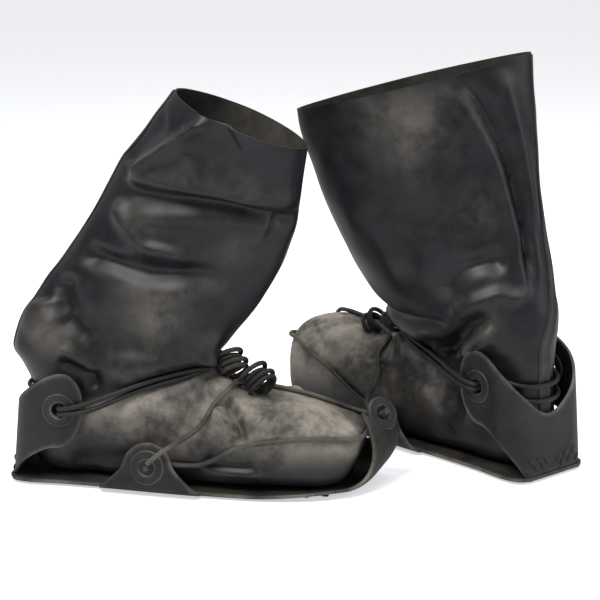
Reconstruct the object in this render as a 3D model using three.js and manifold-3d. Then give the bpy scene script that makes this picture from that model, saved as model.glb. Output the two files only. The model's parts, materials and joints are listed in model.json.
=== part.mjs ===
// A pair of lace-up rubber overboots. Each boot is a thin rubber bag (foot, ankle and shaft) on a
// flat moulded sole. The sole has a toe tab, two side tabs and a fish-tail heel flap with two
// lobes. One round lace runs through five eyelets and is tied at the front of the ankle.
// Units are millimetres. Z is up, the floor is z = 0, and the origin is the bottom centre of the
// pair. A boot's own frame has x from its heel to its toe, y to its left and z up, with the
// origin on the floor under the back of the heel.

import * as THREE from 'three';
import { mergeVertices } from 'three/addons/utils/BufferGeometryUtils.js';
import Module from 'manifold-3d';

// Driving dimensions

const BAG_LENGTH = 352;          // heel line to the bag's toe
const BAG_HEIGHT = 394;          // floor to the left boot's rim at the back
const BAG_WALL = 1.8;
const FOOT_HALF_WIDTH = 63;      // at the ball of the foot
const HEEL_HALF_WIDTH = 45;

const SOLE_THICKNESS = 3;
const CLEAT_HEIGHT = 3;
const CLEAT_WIDTH = 7;
const CLEAT_PITCH = 19;
const CLEAT_INSET = 14;
const SOLE_MARGIN = 6;           // how far the sole stands out past the bag's side
const TOE_CURL_RADIUS = 44;
const TOE_CURL_ANGLE = 136;
const TOE_TAB_HALF_WIDTH = 25;

const FLAP_THICKNESS = 3;
const FLAP_CLEARANCE = 8;        // room for the lace between the bag and the flap
const FLAP_DIP_HEIGHT = 66;
const LOBE_RADIUS = 37;          // half of a lobe's height
const LOBE_REACH = 24;           // how far a lobe runs on past its eyelet
const SIDE_TAB_LENGTH = 56;
const SIDE_TAB_BASE = 104;
const SIDE_TAB_X = 150;          // the left boot's side tabs; the right boot's stand further forward
const SIDE_TAB_SHIFT = 36;

const EYELET_HOLE = 15;
const EYELET_DISC = 35;
const EYELET_RIM = 1.3;          // how far an eyelet disc stands out of its tab

const LACE_DIAMETER = 5;
const TAPE_WIDTH = 12;
const TAPE_THICKNESS = 1.2;
const GAP = 0.3;                 // between bonded or touching pieces

const SOLE_TOP = CLEAT_HEIGHT + SOLE_THICKNESS;
const BAG_BOTTOM = SOLE_TOP + GAP;
const LACE_RADIUS = LACE_DIAMETER / 2;
const LACE_LIFT = LACE_RADIUS + 3 * GAP;
const TAPE_LIFT = LACE_LIFT + TAPE_THICKNESS + 3 * GAP;

// The outline tables below are drawn for this length, this height and these half widths.
const PATTERN = { length: 352, height: 394, ankleX: 110, ankleZ: 130, bottom: 6.3, foot: 63, heel: 45 };

// Bag outline. A row is one ring of the bag: the front (or top) point x, z, the back (or bottom)
// point x, z, half the width across, the turn of the ring about the vertical and its shift to
// the boot's left.
const FOOT_ROWS = [
  [352, 50, 352, 44, 4, 0, 0],
  [352, 59, 346, 26, 26, 0, 0],
  [346, 66, 336, 10, 41, 0, 0],
  [328, 76, 320, 6.3, 53, 0, 0],
  [297, 86, 291, 6.3, 60, 0, 0],
  [263, 93, 250, 6.3, 63, 0, 0],
  [240, 98, 205, 6.3, 61, 0, 0],
  [224, 106, 155, 6.3, 56, 0, 0],
  [215, 112, 105, 6.3, 50, 0, 0],
  [211, 117, 60, 6.3, 46, 0, 0],
  [209, 121, 27, 12, 45, 0, 0],
  [208, 124, 15, 36, 45, 0, 0],
  [208, 127, 16, 64, 45, 0, 0],
  [209, 130, 19, 92, 45, 0, 0],
];
// The right foot's front stands fuller, and leans to its boot's left.
const RIGHT_FOOT_ROWS = [
  [352, 70, 352, 40, 8, 0, 26],
  [352, 98, 350, 13, 38, 0, 24],
  [345, 106, 343, 7.5, 49, 0, 19],
  [328, 109, 325, 6.3, 55, 0, 13],
  [300, 106, 293, 6.3, 60, 0, 7],
  [268, 102, 250, 6.3, 63, 0, 2],
  [244, 102, 205, 6.3, 61, 0, 0],
  ...FOOT_ROWS.slice(7),
];
const LEFT_SHAFT_ROWS = [
  [212, 134, 10, 115, 45, 0, 0],
  [218, 141, 1, 130, 45, 0, 0],
  [229, 155, 2, 143, 45, 0, 0],
  [241, 171, 8, 160, 45, 0, 0],
  [254, 190, 18, 176, 45, 0, 0],
  [273, 222, 38, 207, 46, 0, 0],
  [285, 254, 66, 243, 49, 0, 0],
  [291, 284, 93, 285, 55, 0, 0],
  [295, 310, 118, 328, 63, 0, 0],
  [298, 328, 147, 364, 72, 0, 0],
  [300, 340, 171, 394, 78, 0, 0],
];
const RIGHT_SHAFT_ROWS = [
  [212, 134, 17, 116, 47, 0, 2],
  [218, 140, 18, 132, 52, 2, 5],
  [223, 152, 18, 149, 57, 8, 9],
  [227, 168, 19, 166, 59, 15, 14],
  [232, 186, 22, 184, 58, 22, 20],
  [242, 217, 27, 220, 56, 31, 29],
  [252, 250, 33, 258, 53, 39, 38],
  [262, 282, 37, 300, 50, 44, 44],
  [271, 314, 40, 342, 46, 48, 48],
  [279, 342, 43, 384, 43, 50, 51],
  [283, 364, 46, 422, 41, 51, 52],
];
const FOOT_END = 15;             // the foot bag ends at this ring
const ANKLE_END = 18;            // the ankle ends and the shaft starts at this ring
const FOOT_SHAPE = 2.4;          // exponent of a foot ring's superellipse
const RIM_SHAPE = 1.75;          // the same at the rim, where the bag lies flatter
const RING_STEPS = 24;

// Boot positions: the heel's place on the floor and the toe's direction in degrees. 'near' is the
// side of the boot, 1 left or -1 right, that its lace starts and is tied on.
const BOOTS = [
  { name: 'left', at: [-289, 81], toe: -8, near: -1, foot: FOOT_ROWS, shaft: LEFT_SHAFT_ROWS,
    flapLift: 0, tabX: SIDE_TAB_X },
  { name: 'right', at: [260, 48], toe: 129, near: 1, foot: RIGHT_FOOT_ROWS, shaft: RIGHT_SHAFT_ROWS,
    flapLift: 12, tabX: SIDE_TAB_X + SIDE_TAB_SHIFT },
];

const wasm = await Module();
wasm.setup();

// Materials

const rubber = new THREE.MeshStandardMaterial({ color: 0x2d2e32, roughness: 0.5, metalness: 0 });
const footRubber = new THREE.MeshStandardMaterial({ color: 0x5a5650, roughness: 0.75, metalness: 0 });
const soleRubber = new THREE.MeshStandardMaterial({ color: 0x35342f, roughness: 0.8, metalness: 0 });
const flapRubber = new THREE.MeshStandardMaterial({ color: 0x3c3c3e, roughness: 0.65, metalness: 0 });
const laceRubber = new THREE.MeshStandardMaterial({ color: 0x222326, roughness: 0.6, metalness: 0 });

// Mesh helpers

function clean(geometry) {
  geometry.deleteAttribute('normal');
  geometry.deleteAttribute('uv');
  const merged = mergeVertices(geometry, 1e-4);
  const kept = [];
  const index = merged.index.array;
  for (let i = 0; i < index.length; i += 3) {
    const [a, b, c] = [index[i], index[i + 1], index[i + 2]];
    if (a !== b && b !== c && c !== a) kept.push(a, b, c);
  }
  merged.setIndex(volume(merged, kept) < 0 ? flipped(kept) : kept);
  return merged;
}

function volume(geometry, index) {
  const p = geometry.attributes.position;
  const corners = [new THREE.Vector3(), new THREE.Vector3(), new THREE.Vector3()];
  let sum = 0;
  for (let i = 0; i < index.length; i += 3) {
    corners.forEach((corner, j) => corner.fromBufferAttribute(p, index[i + j]));
    sum += corners[0].dot(corners[1].clone().cross(corners[2])) / 6;
  }
  return sum;
}

function flipped(index) {
  const result = [];
  for (let i = 0; i < index.length; i += 3) {
    result.push(index[i], index[i + 2], index[i + 1]);
  }
  return result;
}

function toSolid(geometry) {
  const merged = clean(geometry);
  return new wasm.Manifold(new wasm.Mesh({
    numProp: 3,
    vertProperties: new Float32Array(merged.attributes.position.array),
    triVerts: new Uint32Array(merged.index.array),
  }));
}

function fromSolid(solid) {
  const mesh = solid.getMesh();
  const geometry = new THREE.BufferGeometry();
  geometry.setAttribute('position', new THREE.BufferAttribute(mesh.vertProperties, 3));
  geometry.setIndex(new THREE.BufferAttribute(mesh.triVerts, 1));
  return geometry;
}

// A closed sheet: a box of unit size whose points are moved to place(u, v, w), each from 0 to 1.
function sheet(uSteps, vSteps, place) {
  const geometry = new THREE.BoxGeometry(1, 1, 1, uSteps, vSteps, 1);
  const p = geometry.attributes.position;
  for (let i = 0; i < p.count; i += 1) {
    const point = place(p.getX(i) + 0.5, p.getY(i) + 0.5, p.getZ(i) + 0.5);
    p.setXYZ(i, point.x, point.y, point.z);
  }
  return clean(geometry);
}

// The point and outward normal of a sheet's middle surface at (u, v).
function frameOn(place, u, v) {
  const step = 0.01;
  const point = place(u, v, 0.5);
  const along = place(u + step, v, 0.5).sub(place(u - step, v, 0.5));
  const up = place(u, v + step, 0.5).sub(place(u, v - step, 0.5));
  return { point, normal: along.cross(up).normalize() };
}

function smooth(share) {
  const s = Math.max(0, Math.min(1, share));
  return s * s * (3 - 2 * s);
}

function turned(geometry, point, direction) {
  const turn = new THREE.Quaternion().setFromUnitVectors(new THREE.Vector3(0, 1, 0), direction);
  geometry.applyQuaternion(turn);
  geometry.translate(point.x, point.y, point.z);
  return geometry;
}

// The bag

function stretchX(x) {
  if (x <= PATTERN.ankleX) return x;
  const share = (x - PATTERN.ankleX) / (PATTERN.length - PATTERN.ankleX);
  return PATTERN.ankleX + share * (BAG_LENGTH - PATTERN.ankleX);
}

function stretchZ(z) {
  const raised = z - PATTERN.bottom + BAG_BOTTOM;
  if (z <= PATTERN.ankleZ) return raised;
  const share = (z - PATTERN.ankleZ) / (PATTERN.height - PATTERN.ankleZ);
  return raised + share * (BAG_HEIGHT - PATTERN.height - BAG_BOTTOM + PATTERN.bottom);
}

// Half width: the toe rows follow the foot's width, the rows from the heel on the heel's.
function stretchWidth(half, row) {
  const foot = Math.max(0, Math.min(1, (9 - row) / 4));
  const ratio = foot * (FOOT_HALF_WIDTH / PATTERN.foot) + (1 - foot) * (HEEL_HALF_WIDTH / PATTERN.heel);
  return half * ratio;
}

function makeBag(footRows, shaftRows) {
  const rows = [...footRows, ...shaftRows];
  const last = rows.length - 1;
  const curve = (pick) => new THREE.CatmullRomCurve3(rows.map(pick), false, 'catmullrom', 0.5);
  const fronts = curve((r) => new THREE.Vector3(stretchX(r[0]), 0, stretchZ(r[1])));
  const backs = curve((r) => new THREE.Vector3(stretchX(r[2]), 0, stretchZ(r[3])));
  const widths = curve((r, i) => new THREE.Vector3(stretchWidth(r[4], i), r[5], r[6]));

  // The ring at row number k, which may lie between two rows.
  function ring(k) {
    const front = fronts.getPoint(k / last);
    const back = backs.getPoint(k / last);
    back.z = Math.max(back.z, BAG_BOTTOM);
    const extra = widths.getPoint(k / last);
    const centre = front.clone().add(back).multiplyScalar(0.5);
    const forward = front.clone().sub(back).multiplyScalar(0.5);
    const rise = smooth((k - FOOT_END) / (last - FOOT_END));
    return {
      centre,
      forward,
      half: extra.x,
      turn: THREE.MathUtils.degToRad(extra.y),
      shift: extra.z,
      shape: FOOT_SHAPE + (RIM_SHAPE - FOOT_SHAPE) * rise,
    };
  }

  function fromRing(r, alongShare, side, depth) {
    const reach = r.forward.length() - depth;
    const offset = r.forward.clone().normalize().multiplyScalar(alongShare * reach);
    offset.y += side;
    offset.applyAxisAngle(new THREE.Vector3(0, 0, 1), r.turn);
    return offset.add(r.centre).add(new THREE.Vector3(0, r.shift, 0));
  }

  // A point of ring k: 0 degrees is the front or top, 90 the boot's left, 180 the back or bottom.
  function at(k, degrees, lift = 0) {
    const r = ring(k);
    const angle = THREE.MathUtils.degToRad(degrees);
    const power = 2 / r.shape;
    const along = Math.sign(Math.cos(angle)) * Math.abs(Math.cos(angle)) ** power;
    const across = Math.sign(Math.sin(angle)) * Math.abs(Math.sin(angle)) ** power;
    return fromRing(r, along, across * (r.half + lift), -lift);
  }

  // A point of the back of ring k, 'side' to the left of the middle.
  function backAt(k, side, lift) {
    const r = ring(k);
    const share = (1 - Math.abs(side / r.half) ** r.shape) ** (1 / r.shape);
    return fromRing(r, -share, side, -lift);
  }

  const centre = (k) => {
    const r = ring(k);
    return r.centre.add(new THREE.Vector3(0, r.shift, 0));
  };
  return { at, backAt, centre, last };
}

// A closed wall of the bag. 'stops' lists [ring, lift] pairs in order around the wall's section,
// and a stop with a third value is a pole on the ring's centre.
function bagWall(bag, stops) {
  const profile = stops.map((stop, j) => new THREE.Vector2(stop[2] ? 0 : 1, j));
  const geometry = new THREE.LatheGeometry(profile, RING_STEPS);
  const p = geometry.attributes.position;
  for (let i = 0; i < p.count; i += 1) {
    const [k, lift, pole] = stops[Math.round(p.getY(i))];
    const degrees = THREE.MathUtils.radToDeg(Math.atan2(p.getX(i), p.getZ(i)));
    const point = pole ? bag.centre(k) : bag.at(k, degrees, lift);
    p.setXYZ(i, point.x, point.y, point.z);
  }
  return clean(geometry);
}

function steps(from, to, count) {
  return Array.from({ length: count + 1 }, (_, i) => from + ((to - from) * i) / count);
}

function footBag(bag) {
  const outer = [[0, 0, true], [0.6, 0], ...steps(1, FOOT_END, FOOT_END - 1).map((k) => [k, 0])];
  const inner = steps(FOOT_END, 2, FOOT_END - 2).map((k) => [k, -BAG_WALL]);
  return bagWall(bag, [...outer, ...inner, [1.2, 0, true]]);
}

function bagBand(bag, from, to, count) {
  const outer = steps(from, to, count).map((k) => [k, 0]);
  const inner = steps(to, from, count).map((k) => [k, -BAG_WALL]);
  return bagWall(bag, [...outer, ...inner, outer[0]]);
}

function seamTape(bag, from, to, count) {
  const place = (u, v, w) => bag.backAt(
    from + v * (to - from),
    (u - 0.5) * TAPE_WIDTH,
    GAP + w * TAPE_THICKNESS,
  );
  return sheet(2, count, place);
}

// The sole

const BAG_SIDES = [[0, 30], [7, 41], [22, 46], [60, 47], [110, 51], [160, 57], [205, 61], [255, 63]];
const TOE_SIDES = [[295, 60], [320, 54], [345, 42], [372, 29]];

// Half of the sole's width at a distance along it from the back of the heel.
function soleCurve() {
  const heel = BAG_SIDES.map(([x, y], i) => {
    const share = Math.min(1, i / 6);
    const ratio = (1 - share) * (HEEL_HALF_WIDTH / PATTERN.heel) + share * (FOOT_HALF_WIDTH / PATTERN.foot);
    return new THREE.Vector3(stretchX(x), y * ratio + SOLE_MARGIN, 0);
  });
  const toe = TOE_SIDES.map(([x, y]) => {
    const half = y * (FOOT_HALF_WIDTH / PATTERN.foot) + SOLE_MARGIN;
    return new THREE.Vector3(stretchX(x), half, 0);
  });
  const curlStart = BAG_LENGTH - 10;
  const end = curlStart + TOE_CURL_RADIUS * THREE.MathUtils.degToRad(TOE_CURL_ANGLE);
  const tab = [
    new THREE.Vector3(end - TOE_TAB_HALF_WIDTH * 1.3, TOE_TAB_HALF_WIDTH, 0),
    new THREE.Vector3(end - TOE_TAB_HALF_WIDTH * 0.7, TOE_TAB_HALF_WIDTH * 0.93, 0),
    new THREE.Vector3(end - TOE_TAB_HALF_WIDTH * 0.2, TOE_TAB_HALF_WIDTH * 0.6, 0),
    new THREE.Vector3(end, TOE_TAB_HALF_WIDTH * 0.25, 0),
  ];
  const points = [...heel, ...toe, ...tab];
  return { curve: new THREE.CatmullRomCurve3(points, false, 'centripetal'), curlStart, end };
}

const SOLE = soleCurve();

// A point of the sole: u runs from the heel to the tip of the toe tab, v from right to left.
function solePlace(u, v, w) {
  const edge = SOLE.curve.getPoint(u);
  const side = (v - 0.5) * 2 * edge.y;
  const turn = Math.max(0, edge.x - SOLE.curlStart) / TOE_CURL_RADIUS;
  const radius = TOE_CURL_RADIUS - w * SOLE_THICKNESS;
  if (turn === 0) return new THREE.Vector3(edge.x, side, CLEAT_HEIGHT + w * SOLE_THICKNESS);
  return new THREE.Vector3(
    SOLE.curlStart + radius * Math.sin(turn),
    side,
    CLEAT_HEIGHT + TOE_CURL_RADIUS - radius * Math.cos(turn),
  );
}

function soleHalfWidth(x) {
  let best = 0;
  for (const u of steps(0, 1, 200)) {
    const edge = SOLE.curve.getPoint(u);
    if (Math.abs(edge.x - x) < 4) best = Math.max(best, edge.y);
  }
  return best;
}

// The middle of the toe tab's eyelet, one disc's radius and a rim in from the tab's tip.
const TOE_EYELET_U = 0.935;

function cleats() {
  const heelBars = steps(14, 14 + 4 * CLEAT_PITCH, 4);
  const frontStart = stretchX(190);
  const count = Math.floor((SOLE.curlStart - CLEAT_WIDTH - frontStart) / CLEAT_PITCH);
  const frontBars = steps(frontStart, frontStart + count * CLEAT_PITCH, count);
  return [...heelBars, ...frontBars].map((x) => {
    const width = 2 * (soleHalfWidth(x) - CLEAT_INSET);
    const bar = new THREE.BoxGeometry(CLEAT_WIDTH, width, CLEAT_HEIGHT + SOLE_THICKNESS / 2);
    bar.translate(x, 0, (CLEAT_HEIGHT + SOLE_THICKNESS / 2) / 2);
    return bar;
  });
}

function eyeletCut(frame) {
  const cut = new THREE.CylinderGeometry(EYELET_DISC / 2 + GAP, EYELET_DISC / 2 + GAP, 30, 20);
  return toSolid(turned(cut, frame.point, frame.normal));
}

function eyeletDisc(frame, thickness) {
  const inner = EYELET_HOLE / 2;
  const outer = EYELET_DISC / 2;
  const half = thickness / 2 + EYELET_RIM;
  const round = 1.2;
  const profile = [
    [inner, -half], [outer - round, -half], [outer, -half + round], [outer, half - round],
    [outer - round, half], [inner, half], [inner, -half],
  ];
  const disc = new THREE.LatheGeometry(profile.map(([r, h]) => new THREE.Vector2(r, h)), 16);
  return clean(turned(disc, frame.point, frame.normal));
}

function soleSheet() {
  let solid = toSolid(sheet(30, 6, solePlace));
  for (const bar of cleats()) solid = solid.add(toSolid(bar));
  return fromSolid(solid.subtract(eyeletCut(frameOn(solePlace, TOE_EYELET_U, 0.5))));
}

// The heel flap, a sheet wrapped round the heel. Its outline is drawn on the unrolled sheet:
// s from the middle of the back, and the height.

const FLAP_HALF_WIDTH = HEEL_HALF_WIDTH + FLAP_CLEARANCE + FLAP_THICKNESS / 2;
const FLAP_CORNER = 26;          // radius of the flap's bend at each corner of the heel
const EYELET_X = 59;
const FLAP_BACK = FLAP_HALF_WIDTH - FLAP_CORNER;
const BEND_LENGTH = (Math.PI / 2) * FLAP_CORNER;
const EYELET_S = FLAP_BACK + BEND_LENGTH + EYELET_X - FLAP_CORNER - 12;
const FLAP_END = EYELET_S + LOBE_REACH;
const EYELET_HEIGHT = 81;
const FLAP_LEAN = 0.1;           // forward per millimetre of height
const FLAP_ATTACHED = 38;        // half of the stretch that stands on the sole

function flapTop(s, lift) {
  const crest = EYELET_HEIGHT + LOBE_RADIUS + lift;
  const beyond = Math.max(0, s - EYELET_S) / LOBE_REACH;
  const round = LOBE_RADIUS * Math.sqrt(Math.max(0, 1 - beyond * beyond));
  if (s > EYELET_S) return EYELET_HEIGHT + lift + Math.max(2, round);
  return FLAP_DIP_HEIGHT + (crest - FLAP_DIP_HEIGHT) * smooth(s / EYELET_S);
}

function flapBottom(s, lift) {
  const low = SOLE_TOP + GAP;
  const lobeLow = EYELET_HEIGHT - LOBE_RADIUS - 2 + lift;
  const beyond = Math.max(0, s - EYELET_S) / LOBE_REACH;
  const round = (LOBE_RADIUS + 2) * Math.sqrt(Math.max(0, 1 - beyond * beyond));
  if (s > EYELET_S) return EYELET_HEIGHT + lift - Math.max(2, round);
  const rise = smooth((s - FLAP_ATTACHED) / (EYELET_S - FLAP_ATTACHED));
  return low + (lobeLow - low) * Math.sqrt(rise);
}

// The plan of the flap's middle surface: straight across the back, then an arc, then straight.
function flapPlan(s, back) {
  const side = Math.sign(s);
  const turn = Math.max(0, Math.min(1, (Math.abs(s) - FLAP_BACK) / BEND_LENGTH)) * (Math.PI / 2);
  const beyond = Math.max(0, Math.abs(s) - FLAP_BACK - BEND_LENGTH);
  const point = new THREE.Vector2(
    back + FLAP_CORNER * (1 - Math.cos(turn)) + beyond,
    side * (Math.min(Math.abs(s), FLAP_BACK) + FLAP_CORNER * Math.sin(turn)),
  );
  return { point, normal: new THREE.Vector2(-Math.cos(turn), side * Math.sin(turn)) };
}

function flapPlace(lift) {
  return (u, v, w) => {
    const s = FLAP_END * Math.sin((u - 0.5) * Math.PI);
    const bottom = flapBottom(Math.abs(s), lift);
    const height = bottom + v * (flapTop(Math.abs(s), lift) - bottom);
    const back = 2 + FLAP_THICKNESS / 2 + FLAP_LEAN * height;
    const { point, normal } = flapPlan(s, back);
    point.addScaledVector(normal, (w - 0.5) * FLAP_THICKNESS);
    return new THREE.Vector3(point.x, point.y, height);
  };
}

function flapEyelets(lift) {
  const place = flapPlace(lift);
  const share = Math.asin(EYELET_S / FLAP_END) / Math.PI;
  const v = (LOBE_RADIUS + 2) / (2 * LOBE_RADIUS + 2);
  const left = frameOn(place, 0.5 + share, v);
  const right = frameOn(place, 0.5 - share, v);
  left.normal.negate();
  right.normal.negate();
  return { left, right };
}

function heelFlap(lift) {
  const eyelets = flapEyelets(lift);
  const solid = toSolid(sheet(28, 4, flapPlace(lift)));
  return fromSolid(solid.subtract(eyeletCut(eyelets.left)).subtract(eyeletCut(eyelets.right)));
}

// A side tab, a tongue that curls up from the sole's edge. 'side' is 1 on the boot's left.

const TAB_BEND_RADIUS = 9;
const TAB_LEAN = 97;

function tabPlace(side, tabX) {
  const edge = soleHalfWidth(tabX) + GAP;
  return (u, v, w) => {
    const length = v * SIDE_TAB_LENGTH;
    const tip = EYELET_DISC / 2 + 7;
    const wide = SIDE_TAB_BASE / 2;
    const fromTip = (SIDE_TAB_LENGTH - length) / tip;
    const round = fromTip < 1 ? Math.sqrt(Math.max(0.02, 1 - (1 - fromTip) ** 2)) : 1;
    const half = (tip + (wide - tip) * (1 - smooth(v * 1.5))) * round;
    const bend = THREE.MathUtils.degToRad(TAB_LEAN);
    const turn = Math.min(length / TAB_BEND_RADIUS, bend);
    const straight = Math.max(0, length - bend * TAB_BEND_RADIUS);
    const radius = TAB_BEND_RADIUS + (0.5 - w) * -SOLE_THICKNESS;
    const x = tabX + (u - 0.5) * 2 * half;
    const margin = soleHalfWidth(x) + GAP - edge;
    const out = edge + margin * (1 - v) + radius * Math.sin(turn) + straight * Math.cos(turn);
    const up = CLEAT_HEIGHT + SOLE_THICKNESS / 2 + TAB_BEND_RADIUS
      - radius * Math.cos(turn) + straight * Math.sin(turn);
    return new THREE.Vector3(x, side * out, up);
  };
}

function tabEyelet(side, tabX) {
  const v = (SIDE_TAB_LENGTH - EYELET_DISC / 2 - 7) / SIDE_TAB_LENGTH;
  const frame = frameOn(tabPlace(side, tabX), 0.5, v);
  if (frame.normal.y * side < 0) frame.normal.negate();
  return frame;
}

function sideTab(side, tabX) {
  const solid = toSolid(sheet(6, 8, tabPlace(side, tabX)));
  return fromSolid(solid.subtract(eyeletCut(tabEyelet(side, tabX))));
}

// The lace

function laceTube(points, count) {
  const section = new THREE.Shape();
  section.absarc(0, 0, LACE_RADIUS, 0, Math.PI * 2, false);
  const path = new THREE.CatmullRomCurve3(points, false, 'centripetal');
  const options = { steps: count, curveSegments: 4, bevelEnabled: false, extrudePath: path };
  return clean(new THREE.ExtrudeGeometry(section, options));
}

// A bundle of loops of the knot: a helix of 'turns' round an axis.
function laceCoil(centre, axis, radius, turns, pitch) {
  const along = axis.clone().normalize();
  const side = new THREE.Vector3(0, 0, 1).cross(along).normalize();
  const up = along.clone().cross(side);
  const points = steps(0, turns, turns * 10).map((turn) => {
    const angle = turn * 2 * Math.PI;
    return centre.clone()
      .addScaledVector(along, (turn - turns / 2) * pitch)
      .addScaledVector(side, radius * Math.sin(angle))
      .addScaledVector(up, radius * Math.cos(angle));
  });
  return laceTube(points, Math.round(turns * 10));
}

const UPPER_RADIUS = 7.5;        // the two bundles of loops of the knot
const UPPER_TURNS = 3.5;
const LOWER_RADIUS = 8.5;
const LOWER_TURNS = 3;

function laces(bag, near, fullToe, eyelets) {
  const far = -near;
  const v = (x, y, z) => new THREE.Vector3(x, y, z);
  const on = (k, side, degrees, lift = LACE_LIFT) => bag.at(k, side * degrees, lift);
  const through = (frame, out, dx = 0, dz = 0) => frame.point.clone()
    .addScaledVector(frame.normal, out).add(v(dx, 0, dz));
  const heelNear = near > 0 ? eyelets.heelLeft : eyelets.heelRight;
  const heelFar = near > 0 ? eyelets.heelRight : eyelets.heelLeft;
  const tabNear = near > 0 ? eyelets.tabLeft : eyelets.tabRight;
  const tabFar = near > 0 ? eyelets.tabRight : eyelets.tabLeft;
  const toe = eyelets.toe;
  const space = LACE_DIAMETER + GAP;

  const sheetFace = SOLE_THICKNESS / 2 + EYELET_RIM + LACE_LIFT;
  const flapFace = FLAP_THICKNESS / 2 + EYELET_RIM + LACE_LIFT;
  const beside = space / 2 + 3 * GAP;
  const toeToTab = [
    through(toe, -sheetFace - 2).add(v(0, near * beside, 0)),
    through(toe, sheetFace + 1).add(v(0, near * beside, 0)),
    ...(fullToe ? [on(1, near, 46, LACE_LIFT + 3.4), on(1.7, near, 56, LACE_LIFT + 2.2)] : []),
    on(2.6, near, 62),
    on(3.4, near, 72),
    on(4.5, near, 82),
    on(5.5, near, 92),
    on(6.3, near, 103),
    through(tabNear, -sheetFace - 1, 14, 2),
    through(tabNear, -sheetFace + 1, 3),
    through(tabNear, sheetFace + 0.5, 0),
  ];
  const tabToKnot = [
    through(tabNear, sheetFace + 2.4, 2).add(v(0, 0, space)),
    through(tabNear, sheetFace + 1, 14, 16),
    on(6.9, near, 78, LACE_LIFT + space),
    on(6.9, near, 52),
    on(6.8, near, 30),
    on(6.6, near, 16),
  ];
  const toeToKnot = [
    through(toe, -sheetFace - 2).add(v(0, far * beside, 0)),
    through(toe, sheetFace + 1).add(v(0, far * beside, 0)),
    ...(fullToe ? [on(1.3, far, 36, LACE_LIFT + 1)] : []),
    on(2.3, far, 18, LACE_LIFT + 3 * GAP),
    on(3, far, 14, LACE_LIFT + GAP),
    on(3.6, far, 10),
    on(4.2, far, 8),
    on(4.8, far, 6),
    on(5.5, far, 4),
  ];
  const outerTab = [
    on(6.4, far, 16),
    on(6.6, far, 34),
    on(6.8, far, 56),
    on(6.9, far, 78, LACE_LIFT + space),
    through(tabFar, sheetFace + 2.4, 12, 14),
    through(tabFar, sheetFace + 1, 2, 0),
    through(tabFar, sheetFace - 3, 0),
    through(tabFar, -sheetFace + 1.5, -0.6, 0),
    through(tabFar, -sheetFace - 2, -10, 6),
    on(8, far, 84),
    on(8.1, far, 68),
    on(8.2, far, 50),
    on(8.2, far, 32),
    on(8.2, far, 14),
  ];
  const sideOf = (heel, side, rise, rings) => [
    ...rings.map(([k, degrees], i) => on(k, side, degrees, LACE_LIFT + (i < 3 ? 3 * GAP : 0))),
    through(heel, flapFace - 0.8, 31, 6 + 1.5 * rise),
    through(heel, flapFace + 1, 12, 1.6 + 1.15 * rise),
    through(heel, flapFace - 2, 1.2, rise),
    through(heel, -flapFace + 2, 0, rise),
  ];
  const wrap = (rise, rings, backRing) => [
    ...sideOf(heelNear, near, rise, rings),
    on(backRing, near, 136),
    on(backRing, near, 150, TAPE_LIFT),
    on(backRing, near, 164, TAPE_LIFT),
    on(backRing, near, 180, TAPE_LIFT),
    on(backRing, far, 164, TAPE_LIFT),
    on(backRing, far, 150, TAPE_LIFT),
    on(backRing, far, 136),
    ...sideOf(heelFar, far, rise, rings).reverse(),
  ];
  const lowerRings = [[10.2, 14], [10.5, 24], [10.8, 36], [11.3, 52], [11.6, 67], [11.8, 79]];
  const upperRings = [[12.6, 14], [12.6, 24], [12.65, 36], [12.7, 52], [12.65, 67], [12.5, 79]];
  const pull = space / 2 - 0.05;
  const pitch = LACE_DIAMETER + 1.6;
  const reach = (UPPER_TURNS * pitch) / 2;
  const knotUpper = bag.at(12, near * 10, LACE_LIFT).add(v(reach + LACE_RADIUS + 7, near * 2, -0.5));
  const knotLower = bag.at(5.6, near * 8, LACE_LIFT)
    .add(v(2.8 * reach - 25.2, near * 2, LOWER_RADIUS + LACE_RADIUS + 1.5));
  return {
    lace_toe_to_tab: laceTube(toeToTab, 26),
    lace_tab_to_knot: laceTube(tabToKnot, 12),
    lace_toe_to_knot: laceTube(toeToKnot, 14),
    lace_outer_tab: laceTube(outerTab, 24),
    lace_wrap_lower: laceTube(wrap(-pull, lowerRings, 12.5), 40),
    lace_wrap_upper: laceTube(wrap(pull, upperRings, 13.1), 40),
    knot_upper: laceCoil(knotUpper, v(1, near * 0.35, -0.25), UPPER_RADIUS, UPPER_TURNS, pitch),
    knot_lower: laceCoil(knotLower, v(0.75, near * 0.5, -0.5), LOWER_RADIUS, LOWER_TURNS, pitch),
  };
}

// One boot

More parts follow.
